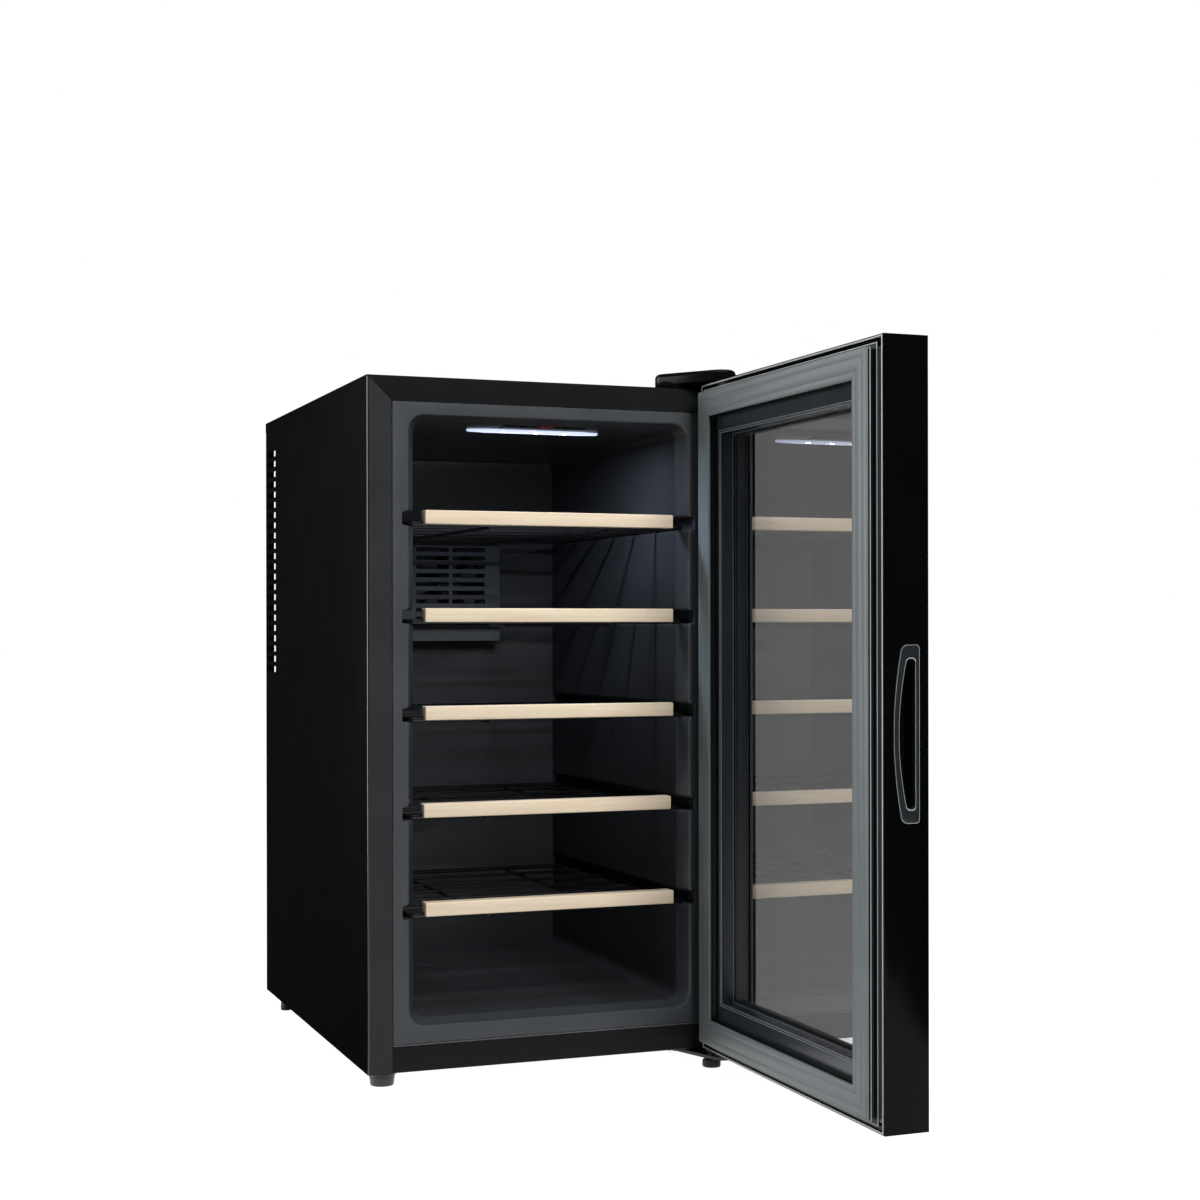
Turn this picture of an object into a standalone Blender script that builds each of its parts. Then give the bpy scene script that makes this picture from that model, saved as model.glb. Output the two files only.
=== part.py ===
"""Thermoelectric wine cooler with its glass door open at a right angle.

Built in the cabinet's own frame: x to the right, y to the back, z up, with the
cabinet centred on x = 0, its front plane at y = 0 and its underside at z = 0.
The empty "wine_cooler" then moves everything so that the origin is at floor
level under the middle of the whole object. Units are metres.
"""

import math

import bmesh
import bpy
from mathutils import Matrix, Vector

# ---------------------------------------------------------------- cabinet
WIDTH = 0.345
DEPTH = 0.450
HEIGHT = 0.617
FOOT_HEIGHT = 0.013
SHEET = 0.001
GAP = 0.0003
TRIM = 0.0225
TOP_TRIM = 0.022
BOTTOM_TRIM = 0.0245
HALF = WIDTH / 2

# ---------------------------------------------------------------- liner
MOUTH_HALF = 0.136
MOUTH_BOTTOM = 0.039
MOUTH_TOP = 0.5845
MOUTH_RADIUS = 0.016
LIP = 0.0145
LIP_INSET = 0.0077
FLANGE_FRONT = 0.0006
CAVITY_DEPTH = 0.345
CAVITY_DRAFT = 0.0053
LINER = 0.0012
FOAM_BACK = 0.392
CORNER_STEPS = 5

# ---------------------------------------------------------------- shelves
SHELVES = 5
SHELF_PITCH = 0.0874
LOWEST_SHELF = 0.1428
SHELF_SETBACKS = (0.0, 0.006, 0.0, 0.0, 0.0)
WOOD_HALF = 0.1195
WOOD_HEIGHT = 0.0124
WOOD_DEPTH = 0.014
WOOD_REBATE = 0.0066
GROOVE_HALF = 0.1418
GROOVE_BELOW = 0.0084
GROOVE_ABOVE = 0.0054
WIRE = 0.0044
WIRE_HALF = 0.1348
WIRE_BELOW = 0.0079
WIRE_FRONT = 0.0070
WIRE_BACK = 0.316
CROSS_WIRES = 7

# ---------------------------------------------------------------- side vents
VENT_ROWS = 22
VENT_PITCH = 0.01098
VENT_HEIGHT = 0.0062
VENT_LOWEST = 0.3471
VENT_COLUMNS = ((0.3972, 0.4204), (0.4231, 0.4328), (0.4393, 0.4464))

# ---------------------------------------------------------------- door
DOOR_GAP = 0.0095
DOOR_THICKNESS = 0.040
DOOR_BOTTOM = 0.0015
DOOR_TOP = 0.620
DOOR_OPEN = 90.0
HINGE_FROM_EDGE = 0.0146
HINGE_FROM_INNER_FACE = 0.0130
WINDOW_HALF = 0.1304
WINDOW_BOTTOM = 0.051
WINDOW_TOP = 0.5705
PANE_HALF = 0.1365
PANE_MARGIN = PANE_HALF - WINDOW_HALF
INNER_PANE = (0.0135, 0.0165)
SPACER = (0.0168, 0.0242)
OUTER_PANE = (0.0245, 0.0285)
SPACER_WIDTH = 0.0080
GASKET_OUTER = 0.161
GASKET_INNER = 0.139
GASKET_THICKNESS = 0.0087
GASKET_EDGE = 0.0093
GASKET_WIDTH = 0.0235
HANDLE_HEIGHT = 0.139
HANDLE_ENDS = 0.0172
HANDLE_BULGE = 0.0060
HANDLE_FRONT_MARGIN = 0.0085
HANDLE_WALL = 0.0050
CUP_WALL = 0.0020
HANDLE_DEPTH = 0.016
BEZEL = 0.0008

# ---------------------------------------------------------------- hinges
PIN_RADIUS = 0.0035
BUSH_RADIUS = 0.0052
BUSH_BORE = 0.0038
BRACKET = 0.003
BRACKET_LOW = -0.0056
COVER_TOP = 0.632
COVER_BOTTOM = 0.6215
FRONT_RIGHT_FOOT = (0.1485, -0.0205)
FRONT_LEFT_FOOT = (-0.155, 0.0192)
REAR_FOOT = (0.1625, 0.3936)

# ---------------------------------------------------------------- cooling unit
COOLER_Z = 0.440
COLD_OPENING = 0.050
INNER_FAN = 0.040
OUTER_FAN = 0.050
REAR_COVER_Y = 0.440
REAR_COVER_HALF = 0.157
INLET = (0.100, 0.052)
INLET_WIDTH = 0.0276
INLET_HEIGHT = 0.0196
HOT_SINK = 0.060

PIVOT = Vector((HALF - HINGE_FROM_EDGE, -DOOR_GAP - HINGE_FROM_INNER_FACE, 0))
DOOR_OUTER_X = PIVOT.x - HINGE_FROM_INNER_FACE + DOOR_THICKNESS
DOOR_REACH = -PIVOT.y + WIDTH - HINGE_FROM_EDGE + BEZEL
ORIGIN = Vector(
    (-(DOOR_OUTER_X - HALF) / 2, -(DEPTH - DOOR_REACH) / 2, FOOT_HEIGHT)
)

COLOURS = {
    "painted_steel": ((0.006, 0.006, 0.007), 0.22, 0.0),
    "trim_steel": ((0.012, 0.012, 0.013), 0.35, 0.0),
    "galvanised": ((0.35, 0.36, 0.37), 0.45, 1.0),
    "foam": ((0.75, 0.68, 0.45), 0.9, 0.0),
    "liner": ((0.025, 0.027, 0.030), 0.45, 0.0),
    "door_gloss": ((0.004, 0.004, 0.004), 0.12, 0.0),
    "door_inner": ((0.012, 0.013, 0.015), 0.25, 0.0),
    "gasket": ((0.09, 0.105, 0.11), 0.55, 0.0),
    "mirror_glass": ((0.25, 0.24, 0.23), 0.03, 0.6),
    "dark_glass": ((0.03, 0.03, 0.03), 0.03, 0.0),
    "spacer": ((0.02, 0.025, 0.03), 0.4, 0.5),
    "handle": ((0.03, 0.033, 0.036), 0.3, 0.3),
    "wood": ((0.72, 0.58, 0.38), 0.5, 0.0),
    "wire": ((0.008, 0.008, 0.009), 0.25, 0.0),
    "aluminium": ((0.7, 0.71, 0.73), 0.35, 1.0),
    "ceramic": ((0.9, 0.9, 0.88), 0.4, 0.0),
    "black_plastic": ((0.012, 0.012, 0.013), 0.4, 0.0),
    "cover_plastic": ((0.010, 0.010, 0.011), 0.2, 0.0),
    "lens": ((0.9, 0.93, 1.0), 0.3, 0.0),
    "board": ((0.02, 0.16, 0.06), 0.5, 0.0),
    "hinge_steel": ((0.02, 0.02, 0.02), 0.35, 0.8),
    "brass": ((0.7, 0.55, 0.3), 0.35, 1.0),
    "foot_rubber": ((0.03, 0.03, 0.032), 0.7, 0.0),
    "screw": ((0.45, 0.45, 0.46), 0.35, 1.0),
}


# ================================================================ tools
def clear_scene():
    for obj in list(bpy.data.objects):
        bpy.data.objects.remove(obj, do_unlink=True)


def material(slot):
    """The slot's Principled material, made on first use."""
    found = bpy.data.materials.get(slot)
    if found:
        return found
    colour, roughness, metallic = COLOURS[slot]
    made = bpy.data.materials.new(slot)
    made.use_nodes = True
    shader = made.node_tree.nodes["Principled BSDF"]
    shader.inputs["Base Color"].default_value = (*colour, 1.0)
    shader.inputs["Roughness"].default_value = roughness
    shader.inputs["Metallic"].default_value = metallic
    return made


def empty(name, location, parent=None):
    made = bpy.data.objects.new(name, None)
    made.location = location
    made.parent = parent
    bpy.context.scene.collection.objects.link(made)
    return made


def part(name, bm, slot, parent, at=(0, 0, 0), smooth=False):
    """Makes an object of bm, with its origin at the point at of its parent's frame."""
    bmesh.ops.translate(bm, vec=-Vector(at), verts=bm.verts)
    bmesh.ops.recalc_face_normals(bm, faces=bm.faces)
    mesh = bpy.data.meshes.new(name)
    bm.to_mesh(mesh)
    bm.free()
    if smooth:
        mesh.shade_smooth()
        mesh.set_sharp_from_angle(angle=math.radians(35))
    made = bpy.data.objects.new(name, mesh)
    if slot:
        mesh.materials.append(material(slot))
    made.location = at
    made.parent = parent
    bpy.context.scene.collection.objects.link(made)
    return made


def cut(target, bm, parent, operation="DIFFERENCE"):
    """Cuts bm from the target, or joins it on, with a Boolean modifier."""
    tool = part(f"tool_{target.name}_{len(target.modifiers)}", bm, None, parent)
    tool.hide_render = True
    tool.display_type = "WIRE"
    modifier = target.modifiers.new(operation.title(), "BOOLEAN")
    modifier.operation = operation
    modifier.object = tool


def box(lo, hi, bm=None):
    bm = bm or bmesh.new()
    lo, hi = Vector(lo), Vector(hi)
    place = Matrix.Translation((lo + hi) / 2) @ Matrix.Diagonal((*(hi - lo), 1))
    bmesh.ops.create_cube(bm, size=1, matrix=place)
    return bm


def prism(points, low, high, axis="Z", bm=None):
    """Extrudes a closed outline: (x, y) points along Z, (x, z) along Y or (y, z) along X."""
    bm = bm or bmesh.new()

    def at(point, height):
        u, v = point
        return {"Z": (u, v, height), "Y": (u, height, v), "X": (height, u, v)}[axis]

    first = [bm.verts.new(at(p, low)) for p in points]
    last = [bm.verts.new(at(p, high)) for p in points]
    bm.faces.new(first)
    bm.faces.new(last)
    count = len(points)
    for i in range(count):
        j = (i + 1) % count
        bm.faces.new((first[i], first[j], last[j], last[i]))
    return bm


def ring(outer, inner, low, high, axis="Y"):
    """A closed frame between two outlines with the same number of points."""
    return tube([(outer, low), (outer, high), (inner, high), (inner, low)], axis)


def tube(sections, axis="Y"):
    """A closed band through (outline, height) sections, the last joined to the first."""
    bm = bmesh.new()
    loops = []
    for outline, height in sections:
        points = {
            "Z": [(u, v, height) for u, v in outline],
            "Y": [(u, height, v) for u, v in outline],
            "X": [(height, u, v) for u, v in outline],
        }[axis]
        loops.append([bm.verts.new(p) for p in points])
    for a, b in zip(loops, loops[1:] + loops[:1]):
        for i in range(len(a)):
            j = (i + 1) % len(a)
            bm.faces.new((a[i], a[j], b[j], b[i]))
    return bm


def turned(profile, centre, axis="Z", segments=24, bm=None):
    """A solid of revolution from (radius, height) pairs that start and end on the axis."""
    bm = bm or bmesh.new()
    cx, cy, cz = centre

    def at(radius, height, angle):
        u, v = radius * math.cos(angle), radius * math.sin(angle)
        return (cx + u, cy + v, cz + height) if axis == "Z" else (cx + u, cy + height, cz + v)

    loops = []
    for radius, height in profile:
        count = segments if radius > 0 else 1
        angles = (2 * math.pi * i / count for i in range(count))
        loops.append([bm.verts.new(at(radius, height, angle)) for angle in angles])
    for a, b in zip(loops, loops[1:]):
        for i in range(segments):
            j = (i + 1) % segments
            corners = [a[i % len(a)], a[j % len(a)], b[j % len(b)], b[i % len(b)]]
            bm.faces.new(list(dict.fromkeys(corners)))
    return bm


def cylinder(radius, low, high, centre, axis="Z", segments=24, bm=None):
    """A round bar. low and high are heights from the centre point."""
    return turned([(0, low), (radius, low), (radius, high), (0, high)], centre, axis, segments, bm)


def rectangle(half, bottom, top):
    return [(-half, bottom), (half, bottom), (half, top), (-half, top)]


def arc(centre, radius, start, end, steps):
    """Points of an arc, both ends included. Angles in degrees."""
    turn = math.radians(end - start) / steps
    angles = (math.radians(start) + turn * i for i in range(steps + 1))
    return [(centre[0] + radius * math.cos(a), centre[1] + radius * math.sin(a)) for a in angles]


def rounded(half, bottom, top, radius, steps=CORNER_STEPS):
    """A rectangle centred on u = 0 with round corners, anticlockwise from bottom right."""
    right = half - radius
    return (
        arc((right, bottom + radius), radius, -90, 0, steps)
        + arc((right, top - radius), radius, 0, 90, steps)
        + arc((-right, top - radius), radius, 90, 180, steps)
        + arc((-right, bottom + radius), radius, 180, 270, steps)
    )


def slot_tools(columns, rows, low, high, axis):
    """Boxes for a grid of slots: columns and rows are (start, end) pairs, low to high the depth."""
    bm = bmesh.new()
    for u0, u1 in columns:
        for v0, v1 in rows:
            ends = {
                "X": ((low, u0, v0), (high, u1, v1)),
                "Y": ((u0, low, v0), (u1, high, v1)),
                "Z": ((u0, v0, low), (u1, v1, high)),
            }[axis]
            box(*ends, bm)
    return bm


def spaced(first, pitch, width, count):
    """(start, end) pairs of count equal slots or fins."""
    return [(first + i * pitch, first + i * pitch + width) for i in range(count)]


def shelf_height(index):
    return LOWEST_SHELF + SHELF_PITCH * index


# ================================================================ outer case
def side_panel(name, side, root):
    """A folded sheet: the side, and the front return that shows as a stile, mitred at its top."""
    outer, inner, trim = (side * u for u in (HALF, HALF - SHEET, HALF - TRIM))
    made = part(name, box((outer, 0, 0), (inner, DEPTH, HEIGHT - SHEET - GAP)), "painted_steel", root)
    low, fold = HEIGHT - TOP_TRIM - 0.0004, 0.95 * SHEET
    high = low + (TRIM - fold) * TOP_TRIM / TRIM
    stile = [(trim, 0), (side * (HALF - fold), 0), (side * (HALF - fold), high), (trim, low)]
    cut(made, prism(stile, 0, SHEET, "Y"), root, "UNION")
    rows = spaced(VENT_LOWEST, VENT_PITCH, VENT_HEIGHT, VENT_ROWS)
    cut(made, slot_tools(VENT_COLUMNS, rows, outer + side * 0.001, inner - side * 0.001, "X"), root)


def top_panel(root):
    """The lid sheet with its front return, whose ends are mitred to meet the stiles."""
    low, high = HEIGHT - TOP_TRIM, HEIGHT - SHEET + 0.0002
    made = part("top_panel", box((-HALF, 0, HEIGHT - SHEET), (HALF, DEPTH, HEIGHT)), "painted_steel", root)
    near = HALF - TRIM
    far = near + (high - low) * TRIM / TOP_TRIM
    cut(made, prism([(-near, low), (near, low), (far, high), (-far, high)], 0, SHEET, "Y"), root, "UNION")


def bottom_front_rail(root):
    half = HALF - TRIM - GAP
    toe = 0.008
    section = [(0, 0), (toe, 0), (toe, SHEET), (SHEET, SHEET), (SHEET, BOTTOM_TRIM), (0, BOTTOM_TRIM)]
    part("bottom_front_rail", prism(section, -half, half, "X"), "trim_steel", root)


def base_panel(root):
    half = HALF - SHEET - GAP
    made = part("base_panel", box((-half, 0.0085, 0), (half, DEPTH, SHEET)), "galvanised", root)
    holes = cylinder(0.0046, -0.001, 0.002, (*FRONT_LEFT_FOOT, 0))
    for side in (-1, 1):
        cylinder(0.0034, -0.001, 0.002, (side * REAR_FOOT[0], REAR_FOOT[1], 0), bm=holes)
    cut(made, holes, root)


def back_plate(root):
    half = HALF - SHEET - GAP
    low, high = SHEET + GAP, HEIGHT - SHEET - GAP
    front, back = FOAM_BACK + GAP, FOAM_BACK + 0.0011
    made = part("back_plate", box((-half, front, low), (half, back, high)), "galvanised", root)
    hole = HOT_SINK + 0.002
    lowest, highest = COOLER_Z - hole, COOLER_Z + hole
    cut(made, box((-hole, front - 0.001, lowest), (hole, back + 0.001, highest)), root)


def rear_cover(root):
    """The tray over the machine space, slotted behind the fan, low down, and along both sides."""
    front, back = FOAM_BACK + 0.0014, REAR_COVER_Y + SHEET
    half, low, high = REAR_COVER_HALF, 0.014, 0.603
    made = part("rear_cover", box((-half, front, low), (half, back, high)), "painted_steel", root)
    lowest, highest = low + SHEET, high - SHEET
    inside = box((-half + SHEET, front - 0.001, lowest), (half - SHEET, REAR_COVER_Y, highest))
    cut(made, inside, root)
    wall = (REAR_COVER_Y - 0.001, back + 0.001)
    fan_rows = spaced(COOLER_Z - 0.0425, 0.010, 0.005, 9)
    cut(made, slot_tools(spaced(-0.044, 0.0305, 0.027, 3), fan_rows, *wall, "Y"), root)
    low_rows = spaced(0.060, 0.010, 0.005, 6)
    cut(made, slot_tools([(-0.120, -0.060), (-0.055, 0.005)], low_rows, *wall, "Y"), root)
    side_rows = spaced(VENT_LOWEST, 2 * VENT_PITCH, VENT_HEIGHT, VENT_ROWS // 2)
    for side in (-1, 1):
        wall = (side * (half + 0.001), side * (half - SHEET - 0.001))
        cut(made, slot_tools([(front + 0.006, back - 0.006)], side_rows, *wall, "X"), root)
    x, z = INLET
    wide, tall = INLET_WIDTH / 2 + 0.0004, INLET_HEIGHT / 2 + 0.0004
    hole = box((x - wide, REAR_COVER_Y - 0.001, z - tall), (x + wide, back + 0.001, z + tall))
    cut(made, hole, root)


# ================================================================ liner and foam
def cavity_outline(half, bottom, top, radius, grow=0.0):
    """The compartment's outline with a shelf groove on both sides of each shelf."""
    half, bottom, top, radius = half + grow, bottom - grow, top + grow, radius + grow
    groove = GROOVE_HALF + grow
    steps = []
    for index in range(SHELVES):
        middle = shelf_height(index)
        low, high = middle - GROOVE_BELOW - grow, middle + GROOVE_ABOVE + grow
        steps += [(half, low), (groove, low), (groove, high), (half, high)]
    right = half - radius
    return (
        arc((right, bottom + radius), radius, -90, 0, CORNER_STEPS)
        + steps
        + arc((right, top - radius), radius, 0, 90, CORNER_STEPS)
        + arc((-right, top - radius), radius, 90, 180, CORNER_STEPS)
        + [(-u, v) for u, v in reversed(steps)]
        + arc((-right, bottom + radius), radius, 180, 270, CORNER_STEPS)
    )


def cavity_sections(grow=0.0):
    """(outline, y) at the mouth, behind the lip's bevel, and at the back wall."""
    inset, deep = LIP_INSET, LIP_INSET + CAVITY_DRAFT
    small = MOUTH_RADIUS - 0.005
    floor, ceiling = MOUTH_BOTTOM + 0.0055, MOUTH_TOP - 0.0053
    mouth = cavity_outline(MOUTH_HALF, MOUTH_BOTTOM, MOUTH_TOP, MOUTH_RADIUS, grow)
    behind_lip = cavity_outline(MOUTH_HALF - inset, floor, ceiling, small, grow)
    low, high = floor + CAVITY_DRAFT, ceiling - CAVITY_DRAFT
    back_wall = cavity_outline(MOUTH_HALF - deep, low, high, small, grow)
    return [(mouth, FLANGE_FRONT), (behind_lip, LIP), (back_wall, CAVITY_DEPTH + grow)]


def loop(bm, outline, y):
    return [bm.verts.new((u, y, v)) for u, v in outline]


def join(bm, a, b):
    """Faces between two loops of vertices."""
    for i in range(len(a)):
        j = (i + 1) % len(a)
        bm.faces.new((a[i], a[j], b[j], b[i]))


def fill_between(bm, outer, inner):
    """Fills the flat area between two loops that already have edges."""
    rims = [bm.edges.get((r[i], r[(i + 1) % len(r)])) for r in (outer, inner) for i in range(len(r))]
    bmesh.ops.triangle_fill(bm, use_beauty=True, use_dissolve=False, edges=rims)


def pocket(bm, sections):
    """The walls and back of a hollow through (outline, y) sections. Returns its front loop."""
    rows = [loop(bm, *section) for section in sections]
    for a, b in zip(rows, rows[1:]):
        join(bm, a, b)
    bm.faces.new(rows[-1])
    return rows[0]


def cold_opening(grow, back):
    """The square hole through the back wall for the cold side of the cooler."""
    half = COLD_OPENING + grow
    low, high = COOLER_Z - half, COOLER_Z + half
    return box((-half, CAVITY_DEPTH - 0.004 - grow, low), (half, back, high))


def inner_liner(root):
    """One formed sheet: the flange, the bevelled lip, the walls with their grooves, the back."""
    half, low, high = HALF - TRIM - GAP, BOTTOM_TRIM + GAP, HEIGHT - TOP_TRIM - GAP
    back = FLANGE_FRONT + LINER
    behind = cavity_sections(LINER)
    behind[0] = (behind[0][0], back)
    bm = bmesh.new()
    inside, outside = pocket(bm, cavity_sections()), pocket(bm, behind)
    edge = rectangle(half, low, high)
    edge_front, edge_back = loop(bm, edge, FLANGE_FRONT), loop(bm, edge, back)
    join(bm, edge_front, edge_back)
    fill_between(bm, edge_front, inside)
    fill_between(bm, edge_back, outside)
    made = part("inner_liner", bm, "liner", root)
    cut(made, cold_opening(0.0, CAVITY_DEPTH + 0.004), root)
    cut(made, light_box(0.0), root)


def light_box(grow):
    """The pocket over the light and the control, through the liner and up into the foam."""
    return box((-0.060 - grow, 0.016 - grow, 0.570), (0.060 + grow, 0.072 + grow, 0.592 + grow))


def foam_insulation(root):
    """The foam block that fills the case round the liner."""
    half, low, high = HALF - SHEET - GAP, SHEET + GAP, HEIGHT - SHEET - GAP
    front = FLANGE_FRONT + LINER + GAP
    sections = cavity_sections(LINER + GAP)
    sections[0] = (sections[0][0], front)
    bm = bmesh.new()
    mouth = pocket(bm, sections)
    outline = rectangle(half, low, high)
    face, back = loop(bm, outline, front), loop(bm, outline, FOAM_BACK)
    join(bm, face, back)
    bm.faces.new(back)
    fill_between(bm, face, mouth)
    made = part("foam_insulation", bm, "foam", root)
    cut(made, cold_opening(0.002, FOAM_BACK + 0.002), root)
    cut(made, light_box(GAP), root)
    corner = box((-HALF, -0.001, -0.001), (HALF, 0.0085, BOTTOM_TRIM + GAP))
    cut(made, corner, root)
    cut(made, cylinder(0.0056, -0.002, 0.020, (*FRONT_LEFT_FOOT, 0)), root)


# ================================================================ light and control
def light(root):
    """The lamp under the ceiling and, in front of it, the touch display."""
    shell = box((-0.0597, 0.0363, 0.5781), (0.0597, 0.0717, 0.5915))
    tray = part("light_housing", shell, "black_plastic", root)
    cut(tray, box((-0.0577, 0.0383, 0.577), (0.0577, 0.0697, 0.5895)), root)
    board = box((-0.055, 0.046, 0.5872), (0.055, 0.062, 0.5888))
    made = part("led_board", board, "board", root)
    lamps = bmesh.new()
    for x in (-0.030, 0.0, 0.030):
        box((x - 0.0025, 0.0515, 0.5852), (x + 0.0025, 0.0565, 0.5876), lamps)
    cut(made, lamps, root, "UNION")
    lens = prism(rounded(0.064, 0.037, 0.073, 0.006, 2), 0.5756, 0.5778)
    part("light_lens", lens, "lens", root)
    panel = box((-0.0395, 0.0165, 0.5770), (0.0395, 0.0345, 0.5860))
    part("control_panel", panel, "black_plastic", root)


# ================================================================ cooling unit
def fins(base_lo, base_hi, fin_y, count, thickness, root, name):
    """A heat sink: a base plate with upright fins across its width."""
    made = part(name, box(base_lo, base_hi), "aluminium", root)
    width = base_hi[0] - base_lo[0]
    pitch = (width - thickness) / (count - 1)
    rows = spaced(base_lo[0], pitch, thickness, count)
    cut(made, slot_tools(rows, [(base_lo[2], base_hi[2])], *fin_y, "Y"), root, "UNION")


def fan(name, half, low, high, root, blades=7):
    """An axial fan: a square frame with a duct and a hub on spokes, and the rotor on its axis."""
    centre = (0, 0, COOLER_Z)
    duct = half - 0.0025
    hub = half * 0.36
    square = box((-half, low, COOLER_Z - half), (half, high, COOLER_Z + half))
    frame = part(f"{name}_frame", square, "black_plastic", root)
    cut(frame, cylinder(duct, low - 0.001, high + 0.001, centre, "Y", 32), root)
    motor = cylinder(hub, high - 0.0030, high - 0.0004, centre, "Y", 20)
    cut(frame, motor, root, "UNION")
    reach, thin = duct + 0.001, 0.002
    for across, up in ((reach, thin), (thin, reach)):
        near, far = (-across, high - 0.0026, COOLER_Z - up), (across, high - 0.0008, COOLER_Z + up)
        cut(frame, box(near, far), root, "UNION")
    axis = empty(f"{name}_axis", (0, (low + high) / 2, COOLER_Z), root)
    near, far = (low - high) / 2 + 0.001, (high - low) / 2 - 0.0040
    middle = cylinder(hub - 0.001, near, far, (0, 0, 0), "Y", 20)
    rotor = part(f"{name}_rotor", middle, "black_plastic", axis)
    vanes = bmesh.new()
    for index in range(blades):
        turn = Matrix.Rotation(2 * math.pi * index / blades, 4, "Y")
        pitch = Matrix.Rotation(math.radians(38), 4, "X")
        reach = Matrix.Translation(((hub + duct) / 2 - 0.0025, (near + far) / 2, 0))
        length = duct - hub + 0.002
        size = Matrix.Diagonal((length, (far - near) * 1.15, 0.0014, 1))
        bmesh.ops.create_cube(vanes, size=1, matrix=turn @ reach @ pitch @ size)
    cut(rotor, vanes, axis, "UNION")


def cooling_unit(root):
    """From the cold side to the hot side: inner fan, fins, block, module, fins, outer fan."""
    def plate(half, front, back):
        return (-half, front, COOLER_Z - half), (half, back, COOLER_Z + half)

    cold, module, fin = COLD_OPENING - 0.003, 0.020, 0.0012
    fins(*plate(cold, 0.3660, 0.3710), (0.3480, 0.3665), 13, fin, root, "cold_heat_sink")
    part("cold_block", box(*plate(module, 0.3713, 0.3877)), "aluminium", root)
    part("peltier_module", box(*plate(module, 0.3880, 0.3918)), "ceramic", root)
    fins(*plate(HOT_SINK, 0.3921, 0.3980), (0.3975, 0.4200), 17, fin, root, "hot_heat_sink")
    fan("inner_fan", INNER_FAN, 0.3280, 0.3430, root)
    fan("outer_fan", OUTER_FAN, 0.4205, 0.4390, root)


def inner_fan_cover(root):
    """The grille over the inner fan: a shallow tray on the back wall, slotted in front."""
    half, front, back = 0.055, 0.3240, CAVITY_DEPTH - GAP
    z0, z1 = COOLER_Z - 0.060, COOLER_Z + 0.060
    wall = 0.002
    made = part("inner_fan_cover", box((-half, front, z0), (half, back, z1)), "liner", root)
    inside = box((wall - half, front + wall, z0 + wall), (half - wall, back + wall, z1 - wall))
    cut(made, inside, root)
    rows = spaced(COOLER_Z - 0.0385, 0.0092, 0.0042, 9)
    cut(made, slot_tools([(-0.038, -0.002), (0.002, 0.038)], rows, front - 0.001, front + 0.003, "Y"), root)


def electrics(root):
    """The power board in the machine space and the mains inlet in the rear cover."""
    made = part("power_board", box((0.020, 0.3960, 0.090), (0.140, 0.3976, 0.190)), "board", root)
    blocks = box((0.030, 0.3970, 0.110), (0.070, 0.4250, 0.150))
    box((0.085, 0.3970, 0.100), (0.105, 0.4200, 0.125), blocks)
    box((0.085, 0.3970, 0.150), (0.130, 0.4150, 0.156), blocks)
    cut(made, blocks, root, "UNION")
    x, z = INLET

    def block(grow, front, back):
        wide, tall = INLET_WIDTH / 2 + grow, INLET_HEIGHT / 2 + grow
        return box((x - wide, front, z - tall), (x + wide, back, z + tall))

    inlet = block(0.0, 0.4180, REAR_COVER_Y + 0.0020)
    body = part("power_inlet", inlet, "black_plastic", root)
    cut(body, block(0.0032, REAR_COVER_Y + SHEET + GAP, REAR_COVER_Y + 0.0035), root, "UNION")
    cut(body, block(-0.0020, 0.4260, 0.4500), root)
    pins = bmesh.new()
    for offset in (-0.007, 0.0, 0.007):
        box((x + offset - 0.001, 0.4250, z - 0.002), (x + offset + 0.001, 0.4390, z + 0.002), pins)
    cut(body, pins, root, "UNION")


# ================================================================ shelves
def shelf(index, root):
    """A wire grid in the liner's grooves with a beech strip across its front."""
    middle = shelf_height(index)
    back = SHELF_SETBACKS[index]
    low, high = middle - WIRE_BELOW, middle - WIRE_BELOW + WIRE
    axis = empty(f"shelf_{index + 1}", (0, back, middle), root)
    grid = prism(rectangle(WIRE_HALF, WIRE_FRONT, WIRE_BACK), low - middle, high - middle)
    made = part(f"shelf_{index + 1}_wires", grid, "wire", axis)
    pitch = (WIRE_BACK - WIRE_FRONT - WIRE) / (CROSS_WIRES - 1)
    gaps = spaced(WIRE_FRONT + WIRE, pitch, pitch - WIRE, CROSS_WIRES - 1)
    inner = WIRE_HALF - WIRE
    cut(made, slot_tools([(-inner, inner)], gaps, low - middle - 0.001, high - middle + 0.001, "Z"), axis)
    rebate = WOOD_REBATE - 0.0001
    lift = high - middle + GAP
    half = WOOD_HEIGHT / 2
    section = [(0, -half), (rebate, -half), (rebate, lift)]
    section += [(WOOD_DEPTH, lift), (WOOD_DEPTH, half), (0, half)]
    part(f"shelf_{index + 1}_front", prism(section, -WOOD_HALF, WOOD_HALF, "X"), "wood", axis)


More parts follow.
